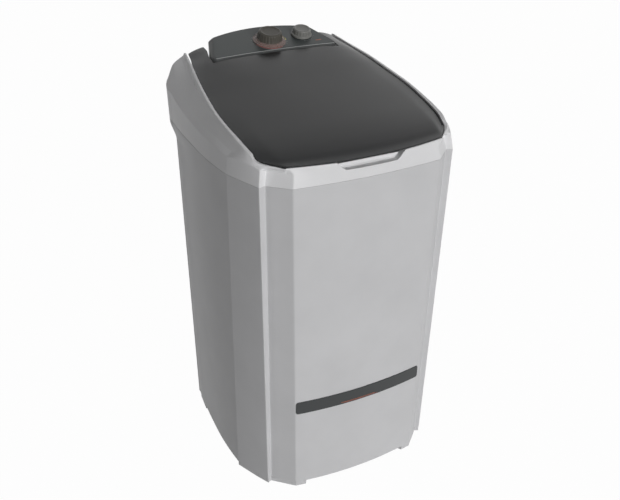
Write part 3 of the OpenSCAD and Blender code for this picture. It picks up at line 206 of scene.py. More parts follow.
def along(points, corners=(), s=SAMPLES):
    """A station curve sampled at s, with its corners softened by short arcs"""
    points = np.asarray(points, float)
    tangents = slopes(points, corners)
    out = curve_at(points, tangents, s)
    for c in corners:
        middle = STATION_T[c]
        near = np.abs(s - middle) < CORNER_SOFT
        places = np.array([middle - CORNER_SOFT, middle, middle + CORNER_SOFT])
        u = ((s[near] - middle + CORNER_SOFT) / (2 * CORNER_SOFT))[:, None]
        out[near] = turned_corner(u, *curve_at(points, tangents, places))
    return out


def inward(p, d):
    """Steps towards the machine's axis, square to an ellipse of the body's proportions"""
    v = p[:, :2] * ELLIPSE
    step = v / np.linalg.norm(v, axis=1)[:, None] * np.reshape(d, (-1, 1))
    return np.hstack([p[:, :2] - step, p[:, 2:]])


def at_z(p, z):
    return np.column_stack([p[:, 0], p[:, 1], np.broadcast_to(z, len(p))])


def full_ring(half):
    """A closed ring from its right half and the mirror image"""
    return np.vstack([half, half[-2:0:-1] * (-1, 1, 1)])


def rounded_rings(rings, radius, steps=4):
    """Rings of a closed profile with its corners softened over their radius on both sides"""
    out = []
    for k, ring in enumerate(rings):
        if radius[k] == 0:
            out.append(ring)
            continue
        back = rings[k - 1] - ring
        ahead = rings[(k + 1) % len(rings)] - ring
        back_len = np.maximum(np.linalg.norm(back, axis=1), LEAST_LENGTH)[:, None]
        ahead_len = np.maximum(np.linalg.norm(ahead, axis=1), LEAST_LENGTH)[:, None]
        first = ring + back / back_len * np.minimum(radius[k], back_len * CORNER_SHARE)
        last = ring + ahead / ahead_len * np.minimum(radius[k], ahead_len * CORNER_SHARE)
        for u in np.linspace(0, 1, steps + 1):
            out.append(turned_corner(u, first, ring, last))
    return out


def rounded_outline(points, radius, steps=4):
    """A closed plan outline with its corners softened"""
    pts = np.asarray(points, float)
    rings = rounded_rings([p[None, :] for p in pts], radius, steps)
    return np.vstack(rings)


def grid_faces(rows, cols, wrap_rows=False, wrap_cols=False):
    """Faces of a grid of points, which may close on itself either way"""
    faces = []
    for j in range(rows if wrap_rows else rows - 1):
        for i in range(cols if wrap_cols else cols - 1):
            a, b = j * cols + i, j * cols + (i + 1) % cols
            k = (j + 1) % rows
            faces.append((a, b, k * cols + (i + 1) % cols, k * cols + i))
    return faces


def make(name, points, faces, material, slot, body="root", hides=(), bevel=0.0):
    """A smooth-shaded piece from points in millimetres, with its finish and the body it rides on"""
    mesh = bpy.data.meshes.new(name)
    mesh.from_pydata((np.asarray(points) * MM).tolist(), [], faces)
    bm = bmesh.new()
    bm.from_mesh(mesh)
    bmesh.ops.remove_doubles(bm, verts=bm.verts, dist=WELD_REACH)
    bmesh.ops.dissolve_degenerate(bm, edges=bm.edges, dist=THIN_EDGE)
    bmesh.ops.recalc_face_normals(bm, faces=bm.faces)
    bm.to_mesh(mesh)
    bm.free()
    mesh.polygons.foreach_set("use_smooth", [True] * len(mesh.polygons))
    mesh.set_sharp_from_angle(angle=SHARP_ANGLE)
    mesh.materials.append(material)
    obj = bpy.data.objects.new(name, mesh)
    scene.collection.objects.link(obj)
    soften(obj, bevel)
    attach(obj, body)
    if hides:
        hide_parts(*hides)
    return obj


def soften(obj, bevel, segments=3):
    """Rounds an object's sharp edges over a width in millimetres, and evens its shading"""
    if bevel:
        mod = obj.modifiers.new("edges", "BEVEL")
        mod.width = bevel * MM
        mod.segments = segments
        mod.limit_method = "ANGLE"
        mod.angle_limit = SHARP_ANGLE
        mod.harden_normals = False
    even = obj.modifiers.new("shading", "WEIGHTED_NORMAL")
    even.keep_sharp = True


def sweep(name, rings, material, slot, **more):
    """A closed band from rings of equal length, with the last ring joined to the first"""
    faces = grid_faces(len(rings), len(rings[0]), True, True)
    return make(name, np.vstack(rings), faces, material, slot, **more)


def stack(name, rings, material, slot, **more):
    """A solid from a stack of rings, closed by a face at each end"""
    n, m = len(rings[0]), len(rings)
    faces = grid_faces(m, n, False, True)
    faces += [tuple(range(n)), tuple(range((m - 1) * n, m * n))]
    return make(name, np.vstack(rings), faces, material, slot, **more)


def panel_z(y):
    return CONSOLE_Z + (y - CONSOLE_FRONT_Y) * math.tan(PANEL_TILT)


def panel_points(points, x, y):
    """Local points moved to the control panel, with +Z along the panel's outward normal"""
    points = np.asarray(points, float)
    c, s = math.cos(PANEL_TILT), math.sin(PANEL_TILT)
    back, up = points[:, 1], points[:, 2]
    turned = np.column_stack([points[:, 0], back * c - up * s, back * s + up * c])
    return turned + (x, y, panel_z(y))


def lathe(name, profile, place, material, slot, flutes=0, depth=0.0, fluted=(), around=144, **more):
    """A turned piece on the control panel: (radius, height) points, closed at the axis or as a ring"""
    rings = []
    angle = np.linspace(0, 2 * math.pi, around, endpoint=False)
    for k, (r, z) in enumerate(profile):
        cut = depth * (0.5 - 0.5 * np.cos(flutes * angle)) if k in fluted else 0
        wave = 1 - cut / max(r, LEAST_LENGTH)
        ring = [r * wave * np.cos(angle), r * wave * np.sin(angle), np.full(around, z)]
        rings.append(panel_points(np.column_stack(ring), *place))
    closed = profile[0][0] > 0
    faces = grid_faces(len(rings), around, closed, True)
    return make(name, np.vstack(rings), faces, material, slot, **more)


# Materials

NOISE_LOW = 0.3
NOISE_HIGH = 0.7
MOTTLE_DETAIL = 4.0
GRAIN_DETAIL = 2.0


def node(tree, kind, **values):
    """A shader node with its settings and input values, where _ stands for a space in an input's name"""
    made = tree.nodes.new(kind)
    for key, value in values.items():
        entry = key.replace("_", " ")
        if entry in made.inputs:
            made.inputs[entry].default_value = value
        else:
            setattr(made, key, value)
    return made


def noise(tree, scale, detail, stretch=(1, 1, 1)):
    """Noise in the object's own coordinates, in cycles per metre"""
    place = node(tree, "ShaderNodeTexCoord")
    fit = node(tree, "ShaderNodeMapping", Scale=stretch)
    cloud = node(tree, "ShaderNodeTexNoise", Scale=scale, Detail=detail)
    tree.links.new(place.outputs["Object"], fit.inputs["Vector"])
    tree.links.new(fit.outputs["Vector"], cloud.inputs["Vector"])
    return cloud.outputs["Fac"]


def spread(tree, source, low, high):
    """A noise value spread over a range"""
    fit = node(tree, "ShaderNodeMapRange", From_Min=NOISE_LOW, From_Max=NOISE_HIGH, To_Min=low, To_Max=high)
    tree.links.new(source, fit.inputs["Value"])
    return fit.outputs["Result"]


def finish(name, colour, vary=0.03, rough=0.45, rough_vary=0.05, grain=900.0, relief=0.00002, mottle=9.0,
           stretch=(1, 1, 1), **sockets):
    """A moulded or machined finish: mottled colour, uneven gloss and a fine grain in relief"""
    mat = bpy.data.materials.new(name)
    mat.use_nodes = True
    tree = mat.node_tree
    shader = tree.nodes["Principled BSDF"]
    for key, value in sockets.items():
        shader.inputs[key.replace("_", " ")].default_value = value
    ramp = node(tree, "ShaderNodeValToRGB")
    ramp.color_ramp.elements[0].position = NOISE_LOW
    ramp.color_ramp.elements[1].position = NOISE_HIGH
    ramp.color_ramp.elements[0].color = tuple(c * (1 - vary) for c in colour) + (1,)
    ramp.color_ramp.elements[1].color = tuple(min(1, c * (1 + vary)) for c in colour) + (1,)
    tree.links.new(noise(tree, mottle, MOTTLE_DETAIL), ramp.inputs["Fac"])
    tree.links.new(ramp.outputs["Color"], shader.inputs["Base Color"])
    fine = noise(tree, grain, GRAIN_DETAIL, stretch)
    tree.links.new(spread(tree, fine, rough - rough_vary, rough + rough_vary), shader.inputs["Roughness"])
    bump = node(tree, "ShaderNodeBump", Strength=1.0, Distance=relief)
    tree.links.new(fine, bump.inputs["Height"])
    tree.links.new(bump.outputs["Normal"], shader.inputs["Normal"])
    return mat


FINISHES = {
    "body_silver": finish("cabinet_silver", (0.60, 0.60, 0.61), rough=0.46, Specular_IOR_Level=0.3),
    "lid_smoke": finish("lid_smoke", (0.018, 0.019, 0.020), rough=0.24, rough_vary=0.03, Alpha=0.9,
                        Specular_IOR_Level=0.32),
    "label_dark": finish("label_dark", (0.036, 0.039, 0.04), rough=0.36, Specular_IOR_Level=0.4),
    "console_dark": finish("console_dark", (0.055, 0.058, 0.058), rough=0.45, Specular_IOR_Level=0.25),
    "fascia": finish("fascia", (0.045, 0.052, 0.052), rough=0.4, vary=0.05, Specular_IOR_Level=0.3),
    "trim_pale": finish("trim_pale", (0.32, 0.33, 0.33), rough=0.35),
    "knob_grey": finish("knob_grey", (0.07, 0.065, 0.055), rough=0.4, Specular_IOR_Level=0.22),
    "knob_core": finish("knob_core", (0.30, 0.22, 0.20), rough=0.3, Alpha=0.5),
    "dial_print": finish("dial_print", (0.10, 0.10, 0.10), rough=0.4),
    "tub_white": finish("tub_white", (0.72, 0.73, 0.73), rough=0.34, vary=0.02),
    "agitator_blue": finish("agitator_blue", (0.20, 0.33, 0.50), rough=0.3),
    "filter_pale": finish("filter_pale", (0.55, 0.60, 0.64), rough=0.35),
    "steel": finish("steel", (0.55, 0.56, 0.57), rough=0.3, Metallic=0.95, stretch=(1, 1, 12)),
    "frame_paint": finish("frame_paint", (0.075, 0.078, 0.082), rough=0.5, vary=0.1, grain=350.0,
                          relief=0.00006),
    "housing_cast": finish("housing_cast", (0.36, 0.37, 0.38), rough=0.55, Metallic=0.6, grain=500.0,
                           relief=0.0001),
    "bronze": finish("bronze", (0.42, 0.27, 0.12), rough=0.35, Metallic=0.9),
    "black_rubber": finish("black_rubber", (0.022, 0.022, 0.023), rough=0.68, relief=0.00006),
    "pulley_black": finish("pulley_black", (0.035, 0.035, 0.037), rough=0.45),
    "motor_steel": finish("motor_steel", (0.30, 0.31, 0.32), rough=0.45, Metallic=0.7, grain=300.0),
    "rotor_steel": finish("rotor_steel", (0.34, 0.34, 0.35), rough=0.4, Metallic=0.85, stretch=(1, 1, 30)),
    "switch_plastic": finish("switch_plastic", (0.50, 0.48, 0.40), rough=0.5),
    "capacitor_white": finish("capacitor_white", (0.66, 0.67, 0.68), rough=0.4),
    "hose_grey": finish("hose_grey", (0.30, 0.31, 0.32), rough=0.5),
    "pipe_dark": finish("pipe_dark", (0.04, 0.04, 0.042), rough=0.45),
}
# The deck's silver is a lighter copy of the cabinet's silver: its extra lightness is painted light for the
# bright front band, and its lower roughness is its gloss
DECK_SILVER_PAINTED_LIGHT = finish("deck_silver_painted_light", (0.76, 0.76, 0.77), rough=0.36, Specular_IOR_Level=0.25)
SELECTOR_GREY = finish("selector_grey", (0.17, 0.17, 0.16), rough=0.36, Specular_IOR_Level=0.3)
DIAL_RED = finish("dial_red", (0.52, 0.10, 0.08), rough=0.4)
DIAL_YELLOW = finish("dial_yellow", (0.62, 0.60, 0.05), rough=0.4)
PRINT_PALE = finish("print_pale", (0.20, 0.21, 0.21), rough=0.5)
PRINT_ORANGE = finish("print_orange", (0.42, 0.12, 0.05), rough=0.5)
PRINT_RED = finish("print_red", (0.30, 0.05, 0.045), rough=0.5)

# Every CAD node gets its slot's finish, and all but the sharp nodes get softened edges
SLOTS = {part["node"]: part["material_slot"] for part in frame["record"]["subparts"]}
EDGE_SOFT = 0.6
SHARP_NODES = {"wiring_harness", "drain_hose", "drive_belt", "agitator_bolt", "pulley_nut", "housing_bolts",
               "hose_clamps", "bracket_bolts"}


def finish_node(name, obj):
    """Gives a CAD node its slot's finish, welds it and, unless it is a sharp node, softens its edges"""
    obj.data.materials.clear()
    obj.data.materials.append(FINISHES[SLOTS[name]])
    weld = obj.modifiers.new("weld", "WELD")
    weld.merge_threshold = NODE_WELD
    if name not in SHARP_NODES:
        soften(obj, EDGE_SOFT, 2)
    obj.data.polygons.foreach_set("use_smooth", [True] * len(obj.data.polygons))


for node_name, node_object in nodes.items():
    finish_node(node_name, node_object)

# Cabinet

FLARE_START = CABINET_H - 46
FLARE_END = CABINET_H - 6
STRAIGHT_TOP = CABINET_H - 40
EDGE_R = 1.3
FOOT_EDGE_R = 2.0
EDGE_SHARE = 0.3
LOW_RING_Z = 60
WALL_RINGS = 9
FLARE_RINGS = 8
MIDDLE_Z = 400
JOINT_GAP = 0.2
REAR_FROM = 100
REAR_TAPER = 0.7


def grooved(half):
    """The half outline with the shallow groove beside the rib pressed in"""
    start, end = STATION_T[GROOVE_STATION], STATION_T[RIB_STATION]
    before = np.clip((SAMPLES - start + GROOVE_W) / GROOVE_W, 0, 1) ** GROOVE_EASE
    after = np.clip((end - SAMPLES) / (end - start), 0, 1)
    depth = GROOVE_D * np.where(SAMPLES < start, before, after)
    return inward(half, depth)


def level(z):
    """Right half of the outside at height z, with the rear wall leaning straight to the joint"""
    return grooved(at_z(along(mix(BOTTOM_HALF, TOP_HALF, z / CABINET_H), CORNERS), z))


def straight_level(z):
    """Level with an upright rear wall, below the flare"""
    half = mix(BOTTOM_HALF, TOP_HALF, z / CABINET_H)
    rear = BOTTOM_HALF[:, 1] > REAR_FROM
    half[rear, 0] = mix(BOTTOM_HALF[rear, 0], half[rear, 0], REAR_TAPER)
    half[rear, 1] = BOTTOM_HALF[rear, 1]
    return grooved(at_z(along(half, CORNERS), z))


def cabinet_wall(z):
    """Right half of the cabinet's outside at height z"""
    low, high = straight_level(FOOT_H), straight_level(STRAIGHT_TOP)
    wall = mix(low, high, (z - FOOT_H) / (STRAIGHT_TOP - FOOT_H))
    flare = smooth_step((z - FLARE_START) / (FLARE_END - FLARE_START))
    ring = mix(wall, level(min(z, CABINET_H)), flare)
    ring[:, 2] = z
    return ring


def build_cabinet():
    """Shell with its soft foot, the upright wall, the flare, the upper edge and the inside"""
    first, last, top = FOOT_EDGE_R * EDGE_SHARE, EDGE_R * EDGE_SHARE, CABINET_H
    rings = [inward(cabinet_wall(FOOT_H), FOOT_EDGE_R), inward(cabinet_wall(FOOT_H + first), first),
             cabinet_wall(FOOT_H + FOOT_EDGE_R)]
    rings += [cabinet_wall(z) for z in np.linspace(LOW_RING_Z, FLARE_START, WALL_RINGS)]
    rings += [cabinet_wall(z) for z in np.linspace(FLARE_START, FLARE_END, FLARE_RINGS)[1:]]
    rings += [cabinet_wall(top - EDGE_R), inward(cabinet_wall(top - last), last)]
    rings += [inward(cabinet_wall(top), EDGE_R)]
    inner_z = (top, FLARE_END, STRAIGHT_TOP, FLARE_START, MIDDLE_Z, FOOT_H)
    rings += [inward(cabinet_wall(z), WALL) for z in inner_z]
    rings = [full_ring(r) for r in rings]
    sweep("cabinet_shell", rings, FINISHES["body_silver"], "body_silver", hides=("cabinet",))


build_cabinet()

# Deck

LID_FRONT_HALF = 191.5
LID_SIDE_IN = 26
LID_BOW = 25.5
# Each list of 20 values here has one for each station of the half outline, front to rear
LID_EDGE = np.array([(x, y, LID_Z) for x, y in bow(LID_FRONT_HALF, FRONT_Y + LID_SIDE_IN, LID_BOW)] + [
    (214, -262, LID_Z), (235, -236, LID_Z + 1), (243.5, -207, LID_Z + 13), (249.5, -158, LID_Z + 27),
    (253, -98, LID_Z + 39), (253.4, -38, LID_Z + 50.6), (246, 44, LID_Z + 65.5), (235, 130, LID_Z + 82),
    (222, REAR_Y - 105, LID_Z + 94), (210.5, REAR_Y - 29, LID_Z + 106), (200, REAR_Y - 19, REAR_TOP_Z),
    (120, REAR_Y - 14, PLATFORM_Z + 0.3), (0, REAR_Y - 9, PLATFORM_Z + 0.3),
], float)
CREASE_UP = (32, 32, 32, 32, 32, 32, 32, 33, 38, 46, 40, 46, 48, 52, 62, 77, 87, 92, 92, 92)
CREASE_Z = CABINET_H + np.array(CREASE_UP, float)
CREASE_IN = np.array([0, 0, 0, 1, 3, 6, 8, 10, 8, 4, 6, 6, 6, 5, 3, 0, -3, -6, -4, -4], float)
# 1 where the deck stands beside the lid's edge, 0 where the lid lies over the deck's band
BESIDE = np.array([0] * 7 + [1] * 10 + [0] * 3, float)
# Shares of the rim's full height and width
RIM = np.array([0] * 8 + [0.5] + [1] * 8 + [0] * 3, float)
RIM_SHARE = np.array([0] * 7 + [0.2, 1, 1.5, 1.5, 1.2] + [1] * 5 + [0] * 3, float)
# How far the shoulder's middle stands out and up from the straight line between crease and rim
SHOULDER_OUT = np.array([0] * 10 + [-4, -4, -4, -4, -3, 0, 5, 6, 0, 0], float)
SHOULDER_UP = np.array([0] * 15 + [6, 15, 18, 4, 0], float)
LEDGE_DROP = 9
EAR_CORNER = (16,)
PLATFORM_STATION = 15
INDEX = np.arange(len(LID_EDGE))
BAND_Z = np.where(INDEX < RIB_STATION, LID_Z, LID_EDGE[:, 2])
LEDGE_Z = np.where(INDEX >= PLATFORM_STATION, PLATFORM_Z, BAND_Z - LEDGE_DROP)
OPENING_HALF = 165
OPENING_SIDE_Y = -247
OPENING_BOW = 15
OPENING_DROP = 5
OPENING_EDGE = np.array(bow(OPENING_HALF, OPENING_SIDE_Y, OPENING_BOW) + [
    (190, -228), (205, -208), (212, -186), (219, -148), (225, -92), (227, -34), (221, 40), (208, 108),
    (186, 158), (165, 172), (140, 180), (80, 186), (0, 190),
], float)
OPENING_Z = np.where(INDEX >= PLATFORM_STATION, PLATFORM_Z, LEDGE_Z - OPENING_DROP)
POCKET_HALF = 62
POCKET_REACH = 28
POCKET_DEEP = 20
POCKET_BACK = FRONT_Y + 20
POCKET_EASE = 3
# Insets of the front band's inner edge, its ledge and the ledge's underside
INNER_IN = 3
LEDGE_IN = 3.2
UNDER_IN = 6
INNER_SLACK = 0.3
LEDGE_SLACK = 0.5
FOOT_OUT = 0.5
FOOT_DROP = 3
CREASE_DIP = 5
FOOT_DIP = 2
POCKET_LEAN = 0.2
POCKET_WALL = 2
RIM_SINK = 0.3
RIM_TOP_SHARE = 0.75
CHUTE_H = 12
FLANGE_W = 24
FLANGE_T = 4
APEX_SHARE = 0.85
# Softening radius of each ring of the deck's profile, in the order that deck_rings gives
RING_RADIUS = [EDGE_R, 3, 12, 1.6, 1.6, 0.8, 1.2, 4, 3, 0.5, 0, 0, 0, 0, 0, 0, 0, 0]


def tub_point(r):
    """Points of a circle round the tub's axis, each straight out past the opening's station"""
    a = np.arctan2(OPENING_EDGE[:, 1] - TUB_Y, OPENING_EDGE[:, 0])
    return np.column_stack([r * np.cos(a), TUB_Y + r * np.sin(a)])


def pocket_top(x):
    """Height of the front band's upper edge, which dips at the finger pocket"""
    u = smooth_step((np.abs(x) - POCKET_HALF) / POCKET_REACH)
    return LID_Z - POCKET_DEEP * (1 - u)


def edge_ring(step, z):
    """The lid's outline, stepped in from its edge, at a height"""
    return along(at_z(inward(LID_EDGE, step), z), EAR_CORNER)


def inset(at_front, slack):
    """An inset at the front band that turns into the lid's gap, less a slack, beside the lid"""
    return at_front - BESIDE * (at_front + LID_GAP - slack)


def tub_ring(r, z):
    """A round ring of the chute down to the tub"""
    return along(at_z(tub_point(r), z))


def deck_rings():
    """The deck's profile at every sample: skirt, shoulder, rim, ledge, chute, and the inside back down"""
    j = along(at_z(TOP_HALF, CABINET_H + JOINT_GAP), CORNERS)
    c = along(at_z(inward(TOP_HALF, CREASE_IN), CREASE_Z), CORNERS)
    rim = RIM_SHARE * RIM_W
    top = LID_EDGE[:, 2] - RIM_SINK + RIM * RIM_H
    foot = edge_ring(-(BESIDE * LID_GAP + rim + FOOT_OUT), LID_EDGE[:, 2] - FOOT_DROP)
    outer = edge_ring(-(BESIDE * LID_GAP + rim * RIM_TOP_SHARE), top)
    inner = edge_ring(inset(INNER_IN, INNER_SLACK), top)
    ledge = edge_ring(inset(LEDGE_IN, LEDGE_SLACK), LEDGE_Z)
    under = edge_ring(inset(UNDER_IN, LEDGE_SLACK), LEDGE_Z - WALL)
    opening = along(at_z(OPENING_EDGE, OPENING_Z))
    back = along(at_z(inward(at_z(OPENING_EDGE, 0), -WALL), OPENING_Z - WALL - 1))
    flange_r, flange_z = TUB_R + FLANGE_W, TUB_TOP + FLANGE_T
    chute = [tub_ring(TUB_R, TUB_TOP + CHUTE_H), tub_ring(TUB_R, TUB_TOP), tub_ring(flange_r, TUB_TOP),
             tub_ring(flange_r, flange_z), tub_ring(TUB_R + WALL, flange_z)]
    # The finger pocket lowers the band's edge and sets its inner side back
    front = SAMPLES < STATION_T[BOW_STEPS]
    dip = front & (np.abs(j[:, 0]) < POCKET_HALF + POCKET_REACH)
    z = pocket_top(j[dip, 0])
    c[dip, 2] = np.minimum(c[dip, 2], z - CREASE_DIP)
    foot[dip, 2] = np.minimum(foot[dip, 2], z - FOOT_DIP)
    foot[:, 1] = np.maximum(foot[:, 1], LID_EDGE[0, 1])
    outer[dip, 2] = np.minimum(outer[dip, 2], z)
    inner[dip, 2] = outer[dip, 2]
    deep = smooth_step((LID_Z - z) / POCKET_EASE)
    inner[dip, 1] = mix(inner[dip, 1], POCKET_BACK, deep)
    ledge[dip, 1] = mix(ledge[dip, 1], POCKET_BACK + POCKET_LEAN, deep)
    under[dip, 1] = np.maximum(under[dip, 1], POCKET_BACK + WALL + POCKET_WALL)
    shoulder = inward(mix(c, foot, 0.5), -np.interp(SAMPLES, STATION_T, SHOULDER_OUT))
    shoulder[:, 2] += np.interp(SAMPLES, STATION_T, SHOULDER_UP)
    band_floor = np.where(front, outer[:, 2] - LEDGE_DROP - WALL, np.inf)
    apex = at_z(inward(mix(c, foot, APEX_SHARE), WALL), np.minimum(foot[:, 2] - FOOT_DROP, band_floor))
    bend = inward(c, WALL)
    bend[:, 2] -= 1
    rings = [j, c, shoulder, foot, outer, inner, ledge, opening, *chute, back, under, apex, bend,
             inward(j, WALL)]
    return rounded_rings(rings, RING_RADIUS)


def build_deck():
    """The deck's profile swept round the machine"""
    rings = [full_ring(r) for r in deck_rings()]
    # The deck is shown in the lighter copy of the silver, whose extra lightness is painted light
    sweep("deck_shell", rings, DECK_SILVER_PAINTED_LIGHT, "body_silver", hides=("top_deck",))


build_deck()

POST_SPAN = (157, 165)
POST_REACH = 9
POST_TOP = 6
SUNK = 2


def box_points(low, high):
    """Points and faces of a block between two corners"""
    corners = [(x, y, z) for z in (low[2], high[2]) for y in (low[1], high[1]) for x in (low[0], high[0])]
    faces = [(0, 1, 3, 2), (4, 6, 7, 5), (0, 4, 5, 1), (1, 5, 7, 3), (3, 7, 6, 2), (2, 6, 4, 0)]
    return corners, faces


def joined(parts):
    """One list of points and faces from several"""
    points, faces = [], []
    for p, f in parts:
        faces += [tuple(i + len(points) for i in face) for face in f]
        points += [tuple(v) for v in p]
    return points, faces


def build_hinge_posts():
    """Posts on the deck that hold the lid's pins"""
    parts = []
    for side in (-1, 1):
        low, high = sorted(side * x for x in POST_SPAN)
        parts.append(box_points((low, HINGE_Y - POST_REACH, PLATFORM_Z - SUNK),
                                (high, HINGE_Y + POST_REACH, HINGE_Z + POST_TOP)))
    points, faces = joined(parts)
    make("hinge_posts", points, faces, DECK_SILVER_PAINTED_LIGHT, "body_silver", bevel=2.5)


build_hinge_posts()

# Lid

# Rows of the lid by station, and for each row the share of the front edge's curve, the share of the crown,
# how squarely the crown falls to the sides, and the relief of the edge by the hinge
LID_ROWS = np.array([8, 8.5, 9, 10, 11, 12, 13, 14, 15, 15.66, 16])
LID_PULL = np.array([1, 0.95, 0.86, 0.62, 0.4, 0.24, 0.12, 0.05, 0.02, 0, 0])
LID_RISE = np.array([0, 0.15, 0.24, 0.47, 0.65, 0.77, 0.95, 1.1, 1.2, 1.1, 1])
LID_SQUARE = np.array([2, 2, 2, 2, 2, 2.2, 2.8, 4, 6, 6, 6])
LID_RELIEF = np.array([0, 0, 0, 0, 0, 0, 0, 0, 0, 4, 4])
EAR_RISE = 2
EAR_Y = 279
SKIRT_H = 7.4
NOTCH_W = CONSOLE_W / 2 + 5
NOTCH_Y = 177
NOTCH_BOW = 3
NOTCH_X = POST_SPAN[1] + 0.8
NOTCH_COLUMNS = 26
BESIDE_COLUMNS = 8
FRONT_ROWS = 54
ROW_EASE = 1.25
EAR_ROWS = 24
EAR_PLACES = [NOTCH_Y, EAR_Y - 72, EAR_Y - 30, EAR_Y]
EAR_INNER = [NOTCH_W, NOTCH_W - 1, NOTCH_X, NOTCH_X]
DENSE = 400
SKIRT_FROM = 0.976
SKIRT_STEP = 0.004
SKIRT_ROWS = (9.5, 15.2)
SKIRT_FADE = (0.7, 0.4)
FIRST_ROW = 8
FRONT_FADE = 0.6
EAR_ROW = 15
EAR_EASE = 0.5
EAR_END = 0.5
OUTER_COLUMN = 0.99
SEARCH_STEPS = 4
OUTERMOST = 0.9


def through(x, known_x, known_y):
    """A smooth rising or falling curve through known values"""
    d = np.diff(known_y) / np.diff(known_x)
    product = d[1:] * d[:-1]
    between = np.where(product > 0, 2 * product / (d[1:] + d[:-1] + TINY), 0)
    m = np.concatenate([[d[0]], between, [d[-1]]])
    i = np.clip(np.searchsorted(known_x, x, "right") - 1, 0, len(d) - 1)
    h = known_x[i + 1] - known_x[i]
    u = (x - known_x[i]) / h
    return cubic(u, h, known_y[i], m[i], known_y[i + 1], m[i + 1])


ROW = np.linspace(LID_ROWS[0], LID_ROWS[-1], DENSE)
ROW_EDGE = along(LID_EDGE, EAR_CORNER, np.interp(ROW, INDEX, STATION_T))
ROW_EDGE[:, 1] += smooth_step((ROW - EAR_ROW - EAR_EASE) / EAR_EASE) * (EAR_Y - LID_EDGE[EAR_CORNER[0], 1])
ROW_EDGE[:, 2] += smooth_step(ROW - EAR_ROW) * EAR_RISE
ROW_PULL = through(ROW, LID_ROWS, LID_PULL)
ROW_RISE = through(ROW, LID_ROWS, LID_RISE)
ROW_RELIEF = through(ROW, LID_ROWS, LID_RELIEF)
ROW_SQUARE = through(ROW, LID_ROWS, LID_SQUARE)
FRONT_CURVE = along(LID_EDGE, s=np.linspace(0, STATION_T[FIRST_ROW], DENSE))
LID_CORNER = LID_EDGE[FIRST_ROW]


def lid_front_y(x):
    """The front edge's curve as a function of x"""
    return np.interp(np.abs(x), FRONT_CURVE[:, 0], FRONT_CURVE[:, 1])


def lid_at(row, u):
    """Points of the lid's top surface at a row between the front and the ears, and a share u of its width"""
    edge = np.column_stack([np.interp(row, ROW, ROW_EDGE[:, k]) for k in range(3)])
    pull = np.interp(row, ROW, ROW_PULL)
    rise = np.interp(row, ROW, ROW_RISE)
    relief = np.interp(row, ROW, ROW_RELIEF)
    crown = 1 - np.abs(u) ** np.interp(row, ROW, ROW_SQUARE)
    over = LID_T * (1 - smooth_step((row - FIRST_ROW) / FRONT_FADE))
    y = edge[:, 1] + pull * (lid_front_y(LID_CORNER[0] * u) - LID_CORNER[1])
    return np.column_stack([(edge[:, 0] - relief) * u, y, edge[:, 2] + over + rise * LID_CROWN * crown])


def row_where(y, u):
    """The row at which column u of the lid reaches y"""
    column = lid_at(ROW, np.full(DENSE, u))
    return np.interp(y, column[:, 1], ROW)


def lid_on(x, y):
    """The lid's point straight above a plan point beside the notch"""
    row = np.interp(y, ROW_EDGE[:, 1], ROW)
    for _ in range(SEARCH_STEPS):
        u = x / (np.interp(row, ROW, ROW_EDGE[:, 0]) - np.interp(row, ROW, ROW_RELIEF))
        row = row_where(y, u)
    return lid_at(np.array([row]), np.array([u]))[0], u


def lid_depth(row, u):
    """Depth of the lid's edge: a skirt along its sides"""
    starts = smooth_step((row - SKIRT_ROWS[0]) / SKIRT_FADE[0])
    ends = smooth_step((SKIRT_ROWS[1] - row) / SKIRT_FADE[1])
    return LID_T + (SKIRT_H - LID_T) * starts * ends * (np.abs(u) > SKIRT_FROM)


def build_lid():
    """Columns, rows and depths of the lid's front part, and its ears beside the console"""
    edge_x = np.interp(row_where(NOTCH_Y, 1.0), ROW, ROW_EDGE[:, 0])
    notch_u = NOTCH_W / edge_x
    beyond = np.concatenate([np.linspace(notch_u, SKIRT_FROM - SKIRT_STEP, BESIDE_COLUMNS)[1:],
                             [SKIRT_FROM + SKIRT_STEP, OUTER_COLUMN, 1.0]])
    half_u = np.concatenate([np.linspace(0, notch_u, NOTCH_COLUMNS), beyond])
    ends = []
    for u in half_u:
        x = NOTCH_W * min(1, u / notch_u)
        ends.append(row_where(NOTCH_Y + NOTCH_BOW * (1 - (x / NOTCH_W) ** 2), u))
    top, depth = [], []
    for f in np.linspace(0, 1, FRONT_ROWS) ** ROW_EASE:
        rows = FIRST_ROW + (np.array(ends) - FIRST_ROW) * f
        top.append(lid_at(rows, half_u))
        depth.append(lid_depth(rows, half_u))
    # The ears have the same columns as the front part's outer ones
    first = len(half_u) - len(beyond) - 1
    start = top[-1][first:]
    fraction = (start[:, 0] - start[0, 0]) / (start[-1, 0] - start[0, 0])
    ears = []
    for y in np.linspace(NOTCH_Y, EAR_Y - EAR_END, EAR_ROWS)[1:]:
        inner = np.interp(y, EAR_PLACES, EAR_INNER)
        outer = lid_at(np.array([row_where(y, 1.0)]), np.array([1.0]))[0, 0]
        row_pts, row_depth = [], []
        for part in fraction:
            point, u = lid_on(mix(inner, outer, part), y)
            row_pts.append(point)
            row_depth.append(lid_depth(row_where(y, u), u if part > OUTERMOST else 0.0))
        ears.append((np.array(row_pts), np.array(row_depth)))
    return half_u, top, depth, first, ears


